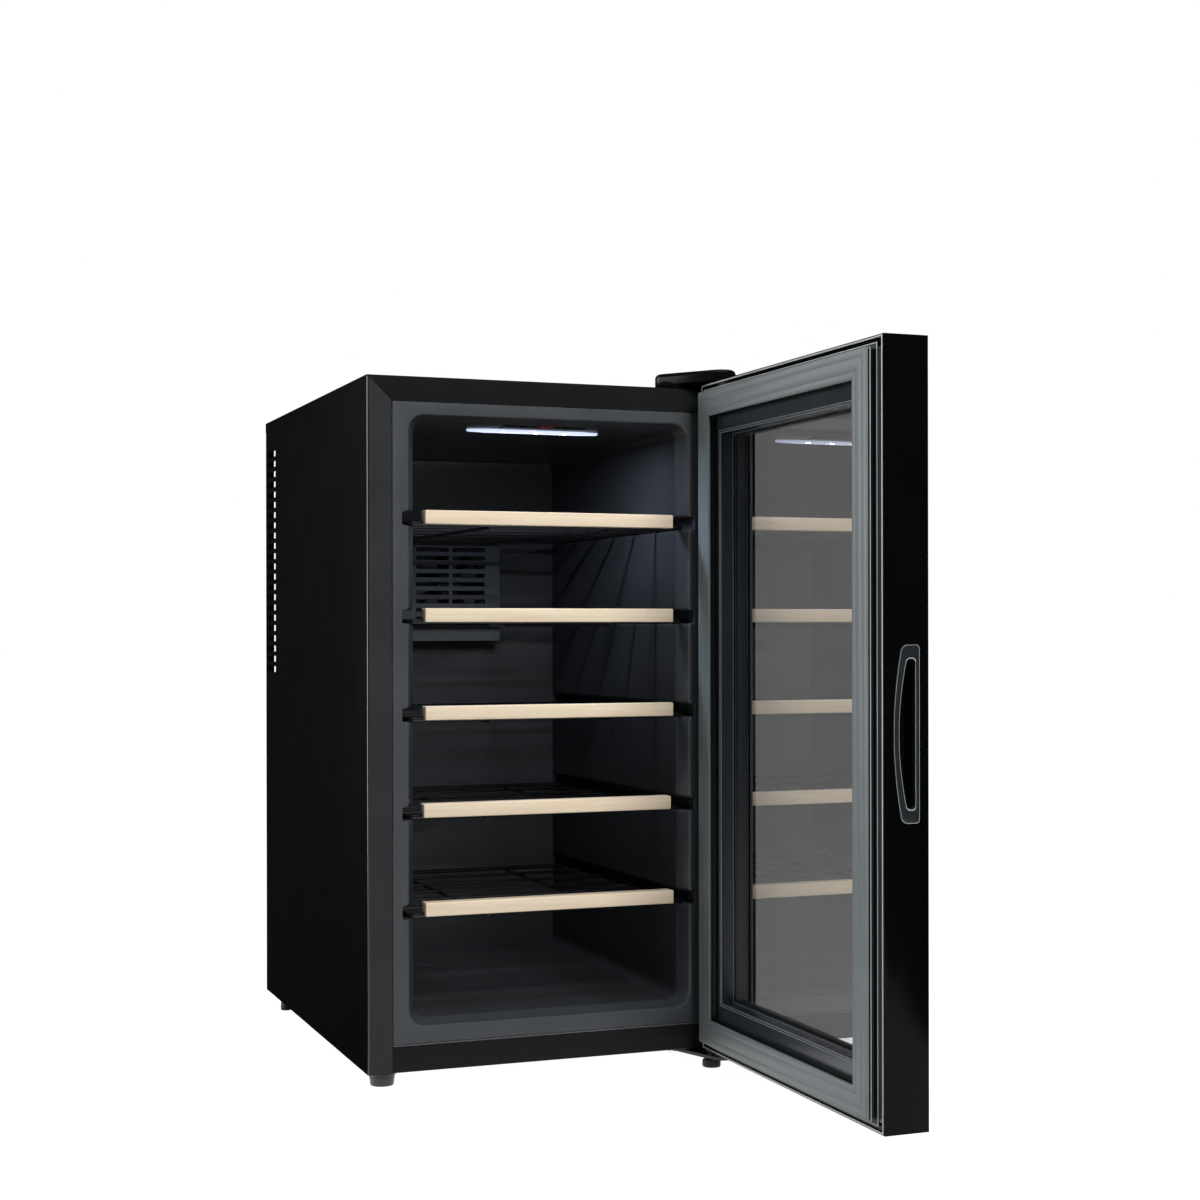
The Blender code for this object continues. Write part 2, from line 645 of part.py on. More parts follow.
# ================================================================ door
def door(root):
    """The door is drawn shut, round the empty on its hinge axis, which then turns it open."""
    axis = empty("door_axis", PIVOT, root)
    axis.rotation_euler = (0, 0, math.radians(DOOR_OPEN))
    inner_face = -DOOR_GAP - PIVOT.y
    shift = -PIVOT.x

    def depth(inward):
        return inner_face - inward

    def frame(half, bottom, top):
        return [(u + shift, v) for u, v in rectangle(half, bottom, top)]

    def round_window(margin):
        """The window's outline, made larger by a margin."""
        return frame(WINDOW_HALF + margin, WINDOW_BOTTOM - margin, WINDOW_TOP + margin)

    outer = frame(HALF, DOOR_BOTTOM, DOOR_TOP)
    pane = round_window(PANE_MARGIN)
    room, stop, mouth = round_window(PANE_MARGIN + 0.0005), round_window(-0.0024), round_window(0.0040)
    plate, seat = 0.0015, OUTER_PANE[1] + GAP
    front = DOOR_THICKNESS
    sections = [(outer, depth(plate)), (room, depth(plate)), (room, depth(seat))]
    sections += [(stop, depth(seat)), (mouth, depth(front)), (outer, depth(front))]
    made = part("door_frame", tube(sections), "door_gloss", axis)
    cut(made, handle_body(shift, depth, GAP, HANDLE_DEPTH + GAP), axis)
    for low, high in ((0.605, 0.63), (-0.01, 0.0165)):
        cut(made, cylinder(BUSH_RADIUS + GAP, low, high, (0, 0, 0)), axis)

    rim = frame(HALF - 0.0030, DOOR_BOTTOM + 0.0030, DOOR_TOP - 0.0030)
    window = round_window(0.0)
    under, over_glass = plate - GAP, INNER_PANE[0] - GAP
    sections = [(rim, depth(0)), (rim, depth(under)), (pane, depth(under))]
    sections += [(pane, depth(over_glass)), (window, depth(over_glass)), (window, depth(0))]
    part("door_inner_frame", tube(sections), "door_inner", axis)

    panes = (("door_inner_pane", INNER_PANE, "mirror_glass"), ("door_outer_pane", OUTER_PANE, "dark_glass"))
    for name, (near, far), slot in panes:
        part(name, prism(pane, depth(near), depth(far), "Y"), slot, axis)
    edge, clear = round_window(PANE_MARGIN - 0.0010), round_window(PANE_MARGIN - SPACER_WIDTH)
    part("glass_spacer", ring(edge, clear, depth(SPACER[0]), depth(SPACER[1])), "spacer", axis)

    lip = GASKET_EDGE + GASKET_WIDTH
    seal = frame(GASKET_OUTER, DOOR_BOTTOM + GASKET_EDGE, DOOR_TOP - GASKET_EDGE)
    hollow = frame(GASKET_INNER, DOOR_BOTTOM + lip, DOOR_TOP - lip)
    part("door_gasket", ring(seal, hollow, depth(-GAP), depth(-GAP - GASKET_THICKNESS)), "gasket", axis)
    handle(shift, depth, axis)
    bushes(axis)


def handle_outline(depth, wall, middle):
    """The handle's D shape: straight towards the door's front, bulging towards the cabinet."""
    front = depth(DOOR_THICKNESS - HANDLE_FRONT_MARGIN) + wall
    back = front + HANDLE_ENDS - 2 * wall
    half = HANDLE_HEIGHT / 2 - wall
    corner = 0.0040
    steps = 10
    bulge = []
    for i in range(steps + 1):
        t = 1 - 2 * i / steps
        bulge.append((back + HANDLE_BULGE * (1 - t * t), middle - t * (half - corner)))
    low = arc((front + corner, middle - half + corner), corner, 180, 270, 3)
    high = arc((front + corner, middle + half - corner), corner, 90, 180, 3)
    low.append((back - corner / 2, middle - half))
    return low + bulge + [(back - corner / 2, middle + half)] + high


def handle_body(shift, depth, grow, deep):
    """The cutter and the outside of the handle cup, sunk into the door's free edge."""
    edge = -HALF + shift
    middle = (DOOR_BOTTOM + DOOR_TOP) / 2
    outline = handle_outline(depth, HANDLE_WALL - CUP_WALL - grow, middle)
    return prism(outline, edge - 0.001 if grow else edge + 0.0001, edge + deep, "X")


def handle(shift, depth, axis):
    """A cup with a narrow bezel round its mouth and a finger pocket."""
    edge = -HALF + shift
    middle = (DOOR_BOTTOM + DOOR_TOP) / 2
    made = part("handle_insert", handle_body(shift, depth, 0, HANDLE_DEPTH), "handle", axis)
    cut(made, prism(handle_outline(depth, 0, middle), edge - BEZEL, edge - GAP, "X"), axis, "UNION")
    bridge = handle_outline(depth, HANDLE_WALL - CUP_WALL, middle)
    cut(made, prism(bridge, edge - BEZEL / 2, edge + 0.001, "X"), axis, "UNION")
    finger_room = handle_outline(depth, HANDLE_WALL, middle)
    cut(made, prism(finger_room, edge - 0.002, edge + HANDLE_DEPTH - 0.0015, "X"), axis)


def bushes(axis):
    """The plastic sleeves that turn on the hinge pins, in the door's top and bottom edges."""
    places = (("top_hinge_bush", 0.6055, DOOR_TOP), ("bottom_hinge_bush", DOOR_BOTTOM, 0.0160))
    for name, low, high in places:
        bm = cylinder(BUSH_RADIUS, low, high, (0, 0, 0))
        made = part(name, bm, "brass", axis, smooth=True)
        cut(made, cylinder(BUSH_BORE, low - 0.002, high + 0.002, (0, 0, 0)), axis)


# ================================================================ hinges and feet
def link_outline(first, first_radius, last, last_radius, steps=12):
    """The outline round two circles and the straight runs between them."""
    a, b = Vector(first), Vector(last)
    run = b - a
    heading = math.degrees(math.atan2(run.y, run.x))
    lean = math.degrees(math.acos((first_radius - last_radius) / run.length))
    start = arc(b, last_radius, heading - lean, heading + lean, steps)
    return start + arc(a, first_radius, heading + lean, heading + 360 - lean, steps)


def top_hinge(root):
    """Bracket screwed on the lid, pin down into the door, and the cover over both."""
    pivot = (PIVOT.x, PIVOT.y)
    tail, middle = (0.124, 0.022), (0.131, 0.0128)
    arm = COVER_BOTTOM + 0.0005
    top = arm + BRACKET
    plan = link_outline(pivot, 0.0080, tail, 0.0079)
    bracket = part("top_hinge_bracket", prism(plan, arm, top), "hinge_steel", root)
    pad = prism(link_outline(middle, 0.0076, tail, 0.0075), HEIGHT + GAP, arm + 0.0005)
    cut(bracket, pad, root, "UNION")
    cut(bracket, cylinder(PIN_RADIUS + GAP, 0.6, 0.64, (*pivot, 0)), root)
    for index, (x, y) in enumerate([(0.1225, 0.0240), (0.1325, 0.0108)]):
        cut(bracket, cylinder(0.0023, 0.6, 0.64, (x, y, 0), segments=12), root)
        head = [(0, top + 0.0022), (0.0038, top + 0.0022), (0.0038, top + GAP), (0.0020, top + GAP)]
        shank = [(0.0020, HEIGHT + GAP), (0, HEIGHT + GAP)]
        screw(f"top_hinge_screw_{index + 1}", head + shank, (x, y, 0), root)
    pin = [(0, 0.6065), (PIN_RADIUS, 0.6065), (PIN_RADIUS, top + GAP)]
    pin += [(0.0055, top + GAP), (0.0055, top + 0.0022), (0, top + 0.0022)]
    screw("top_hinge_pin", pin, (*pivot, 0), root, 24)

    outside = link_outline(pivot, 0.0140, tail, 0.0125)
    inside = link_outline(pivot, 0.0120, tail, 0.0105)
    cover = part("hinge_cover", prism(outside, HEIGHT + GAP, COVER_TOP), "cover_plastic", root)
    cut(cover, box((0.09, -0.05, HEIGHT - 0.002), (0.19, 0.0012, COVER_BOTTOM)), root)
    cut(cover, prism(inside, HEIGHT - 0.004, COVER_TOP - 0.0020), root)


def screw(name, profile, centre, root, segments=12, axis="Z"):
    part(name, turned(profile, centre, axis, segments), "screw", root, smooth=True)


def bottom_hinge(root):
    """Bracket under the cabinet with the lower pin, and the thread for the front right foot."""
    pivot = (PIVOT.x, PIVOT.y)
    tail = (0.136, 0.034)
    under = BRACKET_LOW - GAP
    plan = link_outline(pivot, 0.0125, tail, 0.0100)
    arm = prism(plan, BRACKET_LOW, BRACKET_LOW + BRACKET)
    bracket = part("bottom_hinge_bracket", arm, "hinge_steel", root)
    overlap = BRACKET_LOW + BRACKET - 0.0005
    pad = box((tail[0] - 0.012, 0.0100, overlap), (tail[0] + 0.022, 0.0420, -GAP))
    cut(bracket, pad, root, "UNION")
    holes = cylinder(PIN_RADIUS + GAP, -0.01, 0.001, (*pivot, 0))
    cut(bracket, holes, root)
    cut(bracket, cylinder(0.0031, -0.01, 0.001, (*FRONT_RIGHT_FOOT, 0)), root)
    for index, (x, y) in enumerate([(tail[0] - 0.004, 0.0340), (tail[0] + 0.0120, 0.0180)]):
        cut(bracket, cylinder(0.0023, -0.01, 0.001, (x, y, 0), segments=12), root)
        head = [(0, under - 0.0022), (0.0038, under - 0.0022), (0.0038, under), (0.0020, under)]
        shank = [(0.0020, -GAP), (0, -GAP)]
        screw(f"bottom_hinge_screw_{index + 1}", head + shank, (x, y, 0), root)
    pin = [(0, BRACKET_LOW), (PIN_RADIUS, BRACKET_LOW), (PIN_RADIUS, 0.0120), (0, 0.0120)]
    screw("bottom_hinge_pin", pin, (*pivot, 0), root, 24)


def feet(root):
    """Two levelling feet in front, each on a thread, and two push-in feet at the back."""
    floor = -FOOT_HEIGHT
    left = [(0, floor), (0.0100, floor), (0.0107, floor + 0.0010), (0.0127, -0.0012)]
    left += [(0.0127, -GAP), (0.0040, -GAP), (0.0040, 0.0160), (0, 0.0160)]
    foot("front_left_foot", left, FRONT_LEFT_FOOT, root)
    right = [(0, floor), (0.0080, floor), (0.0085, floor + 0.0008), (0.0085, -0.0060), (0.0028, -0.0060)]
    right += [(0.0028, -0.0010), (0, -0.0010)]
    foot("front_right_foot", right, FRONT_RIGHT_FOOT, root)
    rear = [(0, floor), (0.0060, floor), (0.0067, floor + 0.0010), (0.0067, -GAP)]
    rear += [(0.0030, -GAP), (0.0030, 0.0009), (0, 0.0009)]
    for name, side in (("rear_left_foot", -1), ("rear_right_foot", 1)):
        foot(name, rear, (side * REAR_FOOT[0], REAR_FOOT[1]), root)


def foot(name, profile, place, root):
    """A turned foot, drawn round an empty on its own axis."""
    axis = empty(f"{name}_axis", (*place, 0), root)
    part(name, turned(profile, (0, 0, 0), segments=24), "foot_rubber", axis, smooth=True)


def rear_screws(root):
    """The screws that hold the rear cover."""
    back = REAR_COVER_Y + SHEET
    corners = [(-0.148, 0.030), (0.148, 0.030), (-0.148, 0.587), (0.148, 0.587)]
    profile = [(0, back + GAP), (0.0038, back + GAP), (0.0034, back + 0.0022), (0, back + 0.0024)]
    for index, (x, z) in enumerate(corners):
        screw(f"rear_cover_screw_{index + 1}", profile, (x, 0, z), root, 12, "Y")


def build():
    clear_scene()
    root = empty("wine_cooler", ORIGIN)
    side_panel("left_side_panel", -1, root)
    side_panel("right_side_panel", 1, root)
    top_panel(root)
    bottom_front_rail(root)
    base_panel(root)
    back_plate(root)
    rear_cover(root)
    rear_screws(root)
    inner_liner(root)
    foam_insulation(root)
    light(root)
    cooling_unit(root)
    inner_fan_cover(root)
    electrics(root)
    for index in range(SHELVES):
        shelf(index, root)
    door(root)
    top_hinge(root)
    bottom_hinge(root)
    feet(root)


build()
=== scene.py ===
"""The wine cooler as it looks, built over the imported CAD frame.

Cabinet pieces are drawn in the cabinet's frame: x to the right from its middle, y back
from its front plane, z up from its underside. Door pieces are drawn on the open door:
a is the distance from the hinge end, d the depth outward from the inner face, z up
from the door's bottom edge. Units are metres.
"""
import math

import bmesh
import bpy
from mathutils import Matrix, Vector


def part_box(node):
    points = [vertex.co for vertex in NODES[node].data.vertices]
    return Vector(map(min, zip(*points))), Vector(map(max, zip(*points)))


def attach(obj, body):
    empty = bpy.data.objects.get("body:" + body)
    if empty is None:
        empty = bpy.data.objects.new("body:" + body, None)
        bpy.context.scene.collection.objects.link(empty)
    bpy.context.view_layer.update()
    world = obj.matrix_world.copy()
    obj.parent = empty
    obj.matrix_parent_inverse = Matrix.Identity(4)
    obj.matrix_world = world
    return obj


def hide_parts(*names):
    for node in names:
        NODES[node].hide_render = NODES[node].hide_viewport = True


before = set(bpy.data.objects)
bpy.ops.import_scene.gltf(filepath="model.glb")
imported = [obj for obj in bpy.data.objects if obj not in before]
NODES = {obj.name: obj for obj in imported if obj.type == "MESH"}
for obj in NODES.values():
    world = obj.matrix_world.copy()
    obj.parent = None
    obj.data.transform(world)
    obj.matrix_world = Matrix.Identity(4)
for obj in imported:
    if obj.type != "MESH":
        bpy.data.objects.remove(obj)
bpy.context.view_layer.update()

# ================================================================ places from the frame
LEFT_LO, LEFT_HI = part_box("left_side_panel")
LID_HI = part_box("top_panel")[1]
CENTRE = (LEFT_LO.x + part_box("right_side_panel")[1].x) / 2
HALF = CENTRE - LEFT_LO.x
DEPTH = LEFT_HI.y - LEFT_LO.y
HEIGHT = LID_HI.z - LEFT_LO.z
CABINET = Vector((CENTRE, LEFT_LO.y, LEFT_LO.z))
UP = Vector((0, 0, 1))
SIDE_TOP = LEFT_HI.z - LEFT_LO.z
TRIM = LEFT_HI.x - LEFT_LO.x
TOP_TRIM = HEIGHT - (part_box("top_panel")[0].z - LEFT_LO.z)
BOTTOM_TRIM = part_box("bottom_front_rail")[1].z - LEFT_LO.z
SHEET = 0.001
BEND = 0.0016
GAP = 0.0003
FLANGE_GAP = 0.0010

DOOR_LO, DOOR_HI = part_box("door_frame")
INNER_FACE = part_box("door_inner_frame")[0].x
DOOR_WIDTH = DOOR_HI.y - DOOR_LO.y
DOOR_HEIGHT = DOOR_HI.z - DOOR_LO.z
DOOR_THICK = DOOR_HI.x - INNER_FACE
DOOR = Vector((INNER_FACE, DOOR_HI.y, DOOR_LO.z))

# ---------------------------------------------------------------- liner
MOUTH_HALF = 0.136
MOUTH_BOTTOM = 0.039
MOUTH_TOP = 0.5845
MOUTH_RADIUS = 0.016
LIP = 0.0145
LIP_INSET = 0.0077
LIP_RISE = 0.0055
LIP_DROP = 0.0053
RADIUS_LOSS = 0.005
ROLL_DEPTH = 0.002
CAVITY_DEPTH = 0.345
CAVITY_DRAFT = 0.0053
SHELVES = 5
GROOVE_HALF = 0.1418
GROOVE_BELOW = 0.0084
GROOVE_ABOVE = 0.0054
LOWEST_SHELF = 0.1428
SHELF_PITCH = 0.0874

# ---------------------------------------------------------------- vents
VENT_ROWS = 22
VENT_PITCH = 0.01098
VENT_HEIGHT = 0.0062
VENT_LOWEST = 0.3471
VENT_RADIUS = 0.0012
VENT_COLUMNS = ((0.3972, 0.4204), (0.4231, 0.4328), (0.4393, 0.4464))

# ---------------------------------------------------------------- door, handle and hinge
SURROUND_MARGINS = (0, 0, 0.0063, 0.0063)
SURROUND_BACK = 0.0365
SPACER_INSET = 0.0370
SPACER_WIDTH = 0.0080
GASKET_WIDTH = 0.0235
GASKET_SHIFT = -0.0022
BEAD = 0.00045
HANDLE_ENDS = 0.0172
HANDLE_BULGE = 0.0060
HINGE_TAIL = (0.124, 0.022)
HINGE_RADIUS = 0.0140
HINGE_TAIL_RADIUS = 0.0125
HINGE_WALL = 0.0018

# ---------------------------------------------------------------- camera
CAMERA_X, CAMERA_Y, CAMERA_Z = -0.5994, -1.6924, 0.3922
CAMERA_YAW = -20.883
CAMERA_ROLL = 0.0877
CAMERA_LENS = 59.165
CAMERA_SHIFT = 0.0244


def cab(x, y, z):
    """A point of the cabinet's frame in the world."""
    return CABINET + Vector((x, y, z))


def leaf(a, d, z):
    """A point of the open door's frame in the world."""
    return DOOR + Vector((d, -a, z))


# ================================================================ materials
def tree(name):
    """A new material, its node tree and its shader."""
    made = bpy.data.materials.new(name)
    made.use_nodes = True
    return made, made.node_tree, made.node_tree.nodes["Principled BSDF"]


def add(nodes, kind, **values):
    """A new node, its inputs or properties set by name."""
    node = nodes.nodes.new(kind)
    for key, value in values.items():
        if key in node.inputs:
            node.inputs[key].default_value = value
        else:
            setattr(node, key, value)
    return node


def ramp(nodes, source, stops):
    """A colour ramp over a 0 to 1 value: stops are (place, colour) pairs."""
    made = nodes.nodes.new("ShaderNodeValToRGB")
    while len(made.color_ramp.elements) < len(stops):
        made.color_ramp.elements.new(0.5)
    for element, (place, colour) in zip(made.color_ramp.elements, stops):
        element.position = place
        element.color = (*colour, 1)
    nodes.links.new(source, made.inputs["Fac"])
    return made


def noise(nodes, scale, detail=4.0, stretch=(1, 1, 1), roughness=0.5):
    """Noise over object coordinates, stretched along the axes."""
    place = add(nodes, "ShaderNodeTexCoord")
    mapping = add(nodes, "ShaderNodeMapping")
    mapping.inputs["Scale"].default_value = stretch
    made = add(nodes, "ShaderNodeTexNoise", Scale=scale, Detail=detail, Roughness=roughness)
    nodes.links.new(place.outputs["Object"], mapping.inputs["Vector"])
    nodes.links.new(mapping.outputs["Vector"], made.inputs["Vector"])
    return made


def finish_of(name, colour, roughness, metallic=0.0, spread=0.06, vary=0.08, grain=None, specular=0.5):
    """A moulded or painted surface: small colour and roughness variation, and a fine grain."""
    made, nodes, shader = tree(name)
    shader.inputs["Metallic"].default_value = metallic
    shader.inputs["Specular IOR Level"].default_value = specular
    broad = noise(nodes, 18.0)
    darker = tuple(c * (1 - vary) for c in colour)
    lighter = tuple(min(1.0, c * (1 + vary)) for c in colour)
    tint = ramp(nodes, broad.outputs["Fac"], [(0.3, darker), (0.7, lighter)])
    nodes.links.new(tint.outputs["Color"], shader.inputs["Base Color"])
    span = add(nodes, "ShaderNodeMapRange")
    span.inputs["To Min"].default_value = max(0.02, roughness - spread)
    span.inputs["To Max"].default_value = roughness + spread
    nodes.links.new(broad.outputs["Fac"], span.inputs["Value"])
    nodes.links.new(span.outputs["Result"], shader.inputs["Roughness"])
    if grain:
        scale, strength = grain
        fine = noise(nodes, scale, 2.0)
        bump = add(nodes, "ShaderNodeBump", Strength=strength, Distance=0.0002)
        nodes.links.new(fine.outputs["Fac"], bump.inputs["Height"])
        nodes.links.new(bump.outputs["Normal"], shader.inputs["Normal"])
    return made


def wood_finish(name):
    """Pale beech: long grain along x, fine pores, a soft satin lacquer."""
    made, nodes, shader = tree(name)
    long_grain = noise(nodes, 9.0, 6.0, (1.2, 26, 26), 0.6)
    pores = noise(nodes, 60.0, 3.0, (1.5, 40, 40), 0.7)
    tones = [(0.25, (0.70, 0.565, 0.40)), (0.5, (0.78, 0.65, 0.48)), (0.75, (0.83, 0.715, 0.555))]
    base = ramp(nodes, long_grain.outputs["Fac"], tones)
    fleck = ramp(nodes, pores.outputs["Fac"], [(0.30, (0.72, 0.72, 0.72)), (0.42, (1, 1, 1))])
    mix = add(nodes, "ShaderNodeMix", data_type="RGBA", blend_type="MULTIPLY")
    mix.inputs[0].default_value = 0.5
    nodes.links.new(base.outputs["Color"], mix.inputs[6])
    nodes.links.new(fleck.outputs["Color"], mix.inputs[7])
    nodes.links.new(mix.outputs[2], shader.inputs["Base Color"])
    shader.inputs["Roughness"].default_value = 0.42
    bump = add(nodes, "ShaderNodeBump", Strength=0.12, Distance=0.0003)
    nodes.links.new(pores.outputs["Fac"], bump.inputs["Height"])
    nodes.links.new(bump.outputs["Normal"], shader.inputs["Normal"])
    return made


def glass_finish(name, colour, metallic=0.0, ior=1.0, roughness=0.0, haze=0.02):
    """Clear, tinted or coated glass. A metallic share makes it a part mirror; haze is its unevenness."""
    made, nodes, shader = tree(name)
    shader.inputs["Metallic"].default_value = metallic
    shader.inputs["Transmission Weight"].default_value = 1.0
    shader.inputs["IOR"].default_value = ior
    shader.inputs["Roughness"].default_value = roughness
    cloud = noise(nodes, 6.0)
    dim = tuple(c * (1 - haze) for c in colour)
    tint = ramp(nodes, cloud.outputs["Fac"], [(0.3, dim), (0.7, colour)])
    nodes.links.new(tint.outputs["Color"], shader.inputs["Base Color"])
    return made


def glow_finish(name, colour, strength, base=(0.9, 0.9, 0.9)):
    """A surface that gives light, slightly uneven."""
    made, nodes, shader = tree(name)
    shader.inputs["Base Color"].default_value = (*base, 1)
    shader.inputs["Roughness"].default_value = 0.3
    shader.inputs["Emission Color"].default_value = (*colour, 1)
    grainy = noise(nodes, 900.0, 2.0)
    span = add(nodes, "ShaderNodeMapRange")
    span.inputs["To Min"].default_value = strength * 0.9
    span.inputs["To Max"].default_value = strength * 1.1
    nodes.links.new(grainy.outputs["Fac"], span.inputs["Value"])
    nodes.links.new(span.outputs["Result"], shader.inputs["Emission Strength"])
    return made


def perforated_finish(name, colour, pitch, dot):
    """A dark metal strip with a row of small holes, a hole every pitch along z and y."""
    made, nodes, shader = tree(name)
    place = add(nodes, "ShaderNodeTexCoord")
    parts = add(nodes, "ShaderNodeSeparateXYZ")
    nodes.links.new(place.outputs["Object"], parts.inputs["Vector"])

    def near_hole(socket):
        wrapped = add(nodes, "ShaderNodeMath", operation="PINGPONG")
        wrapped.inputs[1].default_value = pitch / 2
        nodes.links.new(socket, wrapped.inputs[0])
        below = add(nodes, "ShaderNodeMath", operation="LESS_THAN")
        below.inputs[1].default_value = dot
        nodes.links.new(wrapped.outputs[0], below.inputs[0])
        return below

    both = add(nodes, "ShaderNodeMath", operation="MULTIPLY")
    nodes.links.new(near_hole(parts.outputs["Z"]).outputs[0], both.inputs[0])
    nodes.links.new(near_hole(parts.outputs["Y"]).outputs[0], both.inputs[1])
    tint = ramp(nodes, both.outputs[0], [(0.0, colour), (1.0, tuple(c * 5 for c in colour))])
    nodes.links.new(tint.outputs["Color"], shader.inputs["Base Color"])
    shader.inputs["Roughness"].default_value = 0.35
    shader.inputs["Metallic"].default_value = 0.4
    return made


MATERIALS = {
    "painted_steel": finish_of(
        "black_gloss_paint", (0.0012, 0.0012, 0.0013), 0.36, grain=(700, 0.05), specular=0.02),
    # Painted highlight: the bend between side and stile gets a lighter, glossier copy of the black paint.
    "bend_highlight_paint": finish_of(
        "black_paint_on_the_bend", (0.006, 0.006, 0.007), 0.22, grain=(700, 0.05), specular=0.7),
    # Painted sheen: the stile's front faces take a satin paint made lighter than the rails' to stand in for
    # the light they catch.
    "stile_sheen_paint": finish_of(
        "grey_black_satin_paint", (0.030, 0.031, 0.033), 0.42, grain=(700, 0.08), specular=0.08),
    "trim_steel": finish_of(
        "black_satin_rail_paint", (0.0100, 0.0102, 0.0108), 0.42, grain=(700, 0.08), specular=0.08),
    # Painted highlight: a pale glossy paint on the bottom rail's upper bend.
    "rail_top_highlight": finish_of("painted_highlight_on_the_rail_top", (0.10, 0.10, 0.105), 0.25, specular=0.6),
    "galvanised": finish_of(
        "zinc_coated_steel", (0.42, 0.43, 0.44), 0.42, 1.0, spread=0.12, vary=0.2, grain=(120, 0.1)),
    "foam": finish_of("cream_foam", (0.75, 0.68, 0.45), 0.9, grain=(300, 0.6)),
    "liner": finish_of(
        "dark_grey_liner", (0.055, 0.060, 0.066), 0.42, grain=(1400, 0.10), specular=0.30),
    # Painted shade: the lip and the inner walls are the same moulding as the flange, painted darker for the
    # shade in the compartment.
    "lip_painted_shade": finish_of(
        "dark_grey_lip_painted_shade", (0.036, 0.039, 0.044), 0.34, grain=(1400, 0.08), specular=0.35),
    "walls_painted_shade": finish_of(
        "dark_grey_walls_painted_shade", (0.034, 0.035, 0.037), 0.34, grain=(1400, 0.08), specular=0.30),
    # Painted highlight: pale beads along the mouth and the flange's outer edge.
    "mouth_highlight": finish_of("grey_painted_mouth_highlight", (0.62, 0.65, 0.68), 0.35, specular=0.4),
    "door_gloss": finish_of("black_gloss_door", (0.0018, 0.0018, 0.002), 0.14, specular=0.08),
    "door_inner": finish_of(
        "grey_black_gloss_plastic", (0.021, 0.026, 0.033), 0.24, specular=0.4),
    # Painted highlight: pale beads along the door's edge, the seal's folds and the handle's rims.
    "edge_highlight": finish_of("grey_painted_edge_highlight", (0.40, 0.42, 0.42), 0.3, specular=0.6),
    # Painted highlight: pale blue-grey beads at the band's edge and the step to the glass.
    "recess_highlight": finish_of("blue_grey_painted_highlight", (0.16, 0.18, 0.20), 0.3, specular=0.5),
    "gasket": finish_of(
        "slate_grey_gasket", (0.142, 0.166, 0.170), 0.46, grain=(900, 0.1), specular=0.30),
    # Painted shade: the seal's folded side walls are the same rubber as its face, painted near-black for the
    # shade under it.
    "bellows_painted_shade": finish_of("gasket_folds_painted_shade", (0.004, 0.0045, 0.005), 0.5, specular=0.25),
    "mirror_glass": glass_finish("coated_inner_glass", (0.95, 0.945, 0.935), 0.40),
    "clear_glass": glass_finish("clear_inner_glass", (0.97, 0.97, 0.97), roughness=0.005, haze=0.03),
    "dark_glass": glass_finish("dark_outer_glass", (0.20, 0.20, 0.20), 0.0, 1.45, 0.005, 0.03),
    "spacer": perforated_finish("perforated_spacer", (0.021, 0.026, 0.031), 0.0087, 0.0011),
    "handle": finish_of(
        "slate_handle", (0.013, 0.017, 0.020), 0.32, grain=(900, 0.05), specular=0.4),
    "pocket": finish_of("black_pocket", (0.002, 0.002, 0.002), 0.6, specular=0.1),
    "wood": wood_finish("pale_beech"),
    "wire": finish_of("black_coated_wire", (0.006, 0.006, 0.007), 0.22, specular=0.4),
    "aluminium": finish_of(
        "extruded_aluminium", (0.75, 0.76, 0.78), 0.34, 1.0, spread=0.08, vary=0.06, grain=(400, 0.1)),
    "ceramic": finish_of("white_ceramic", (0.86, 0.86, 0.84), 0.5),
    "black_plastic": finish_of(
        "black_moulded_plastic", (0.010, 0.010, 0.011), 0.42, grain=(1200, 0.2), specular=0.3),
    "cover_plastic": finish_of(
        "black_gloss_plastic", (0.003, 0.003, 0.0035), 0.14, grain=(900, 0.03), specular=0.10),
    "lens": glow_finish("lit_lens", (0.62, 0.72, 1.0), 0.9),
    "lamp": glow_finish("lit_lamp", (0.80, 0.88, 1.0), 45.0),
    "display": glow_finish("lit_display", (1.0, 0.05, 0.03), 0.22, (0.03, 0.0, 0.0)),
    "board": finish_of("green_board", (0.02, 0.14, 0.05), 0.4, vary=0.3),
    "hinge_steel": finish_of("dark_plated_steel", (0.03, 0.03, 0.032), 0.35, 0.7),
    "brass": finish_of("brass_sleeve", (0.7, 0.52, 0.26), 0.3, 1.0),
    "foot_rubber": finish_of(
        "slate_foot", (0.040, 0.047, 0.047), 0.42, grain=(900, 0.15), specular=0.35),
    "screw": finish_of("zinc_screw", (0.5, 0.5, 0.52), 0.3, 1.0),
}


# ================================================================ mesh tools
def piece(name, bm, look, body, nodes=(), smooth=True):
    """A finished piece: its mesh, material, body, slot and the CAD nodes it stands for."""
    bmesh.ops.recalc_face_normals(bm, faces=bm.faces)
    mesh = bpy.data.meshes.new(name)
    bm.to_mesh(mesh)
    bm.free()
    if smooth:
        mesh.shade_smooth()
        mesh.set_sharp_from_angle(angle=math.radians(40))
    made = bpy.data.objects.new(name, mesh)
    bpy.context.scene.collection.objects.link(made)
    mesh.materials.append(MATERIALS[look])
    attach(made, body)
    if nodes:
        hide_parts(*nodes)
    return made


def round_edges(obj, width, segments, angle=30):
    """A small bevel on every edge sharper than the angle."""
    bevel = obj.modifiers.new("Rounded edges", "BEVEL")
    bevel.width = width
    bevel.segments = segments
    bevel.limit_method = "ANGLE"
    bevel.angle_limit = math.radians(angle)
    bevel.harden_normals = True


def helper(name, bm):
    """A mesh that only shapes others."""
    bmesh.ops.recalc_face_normals(bm, faces=bm.faces)
    mesh = bpy.data.meshes.new(name)
    bm.to_mesh(mesh)
    bm.free()
    made = bpy.data.objects.new(name, mesh)
    made.hide_render = True
    made.display_type = "WIRE"
    bpy.context.scene.collection.objects.link(made)
    return made


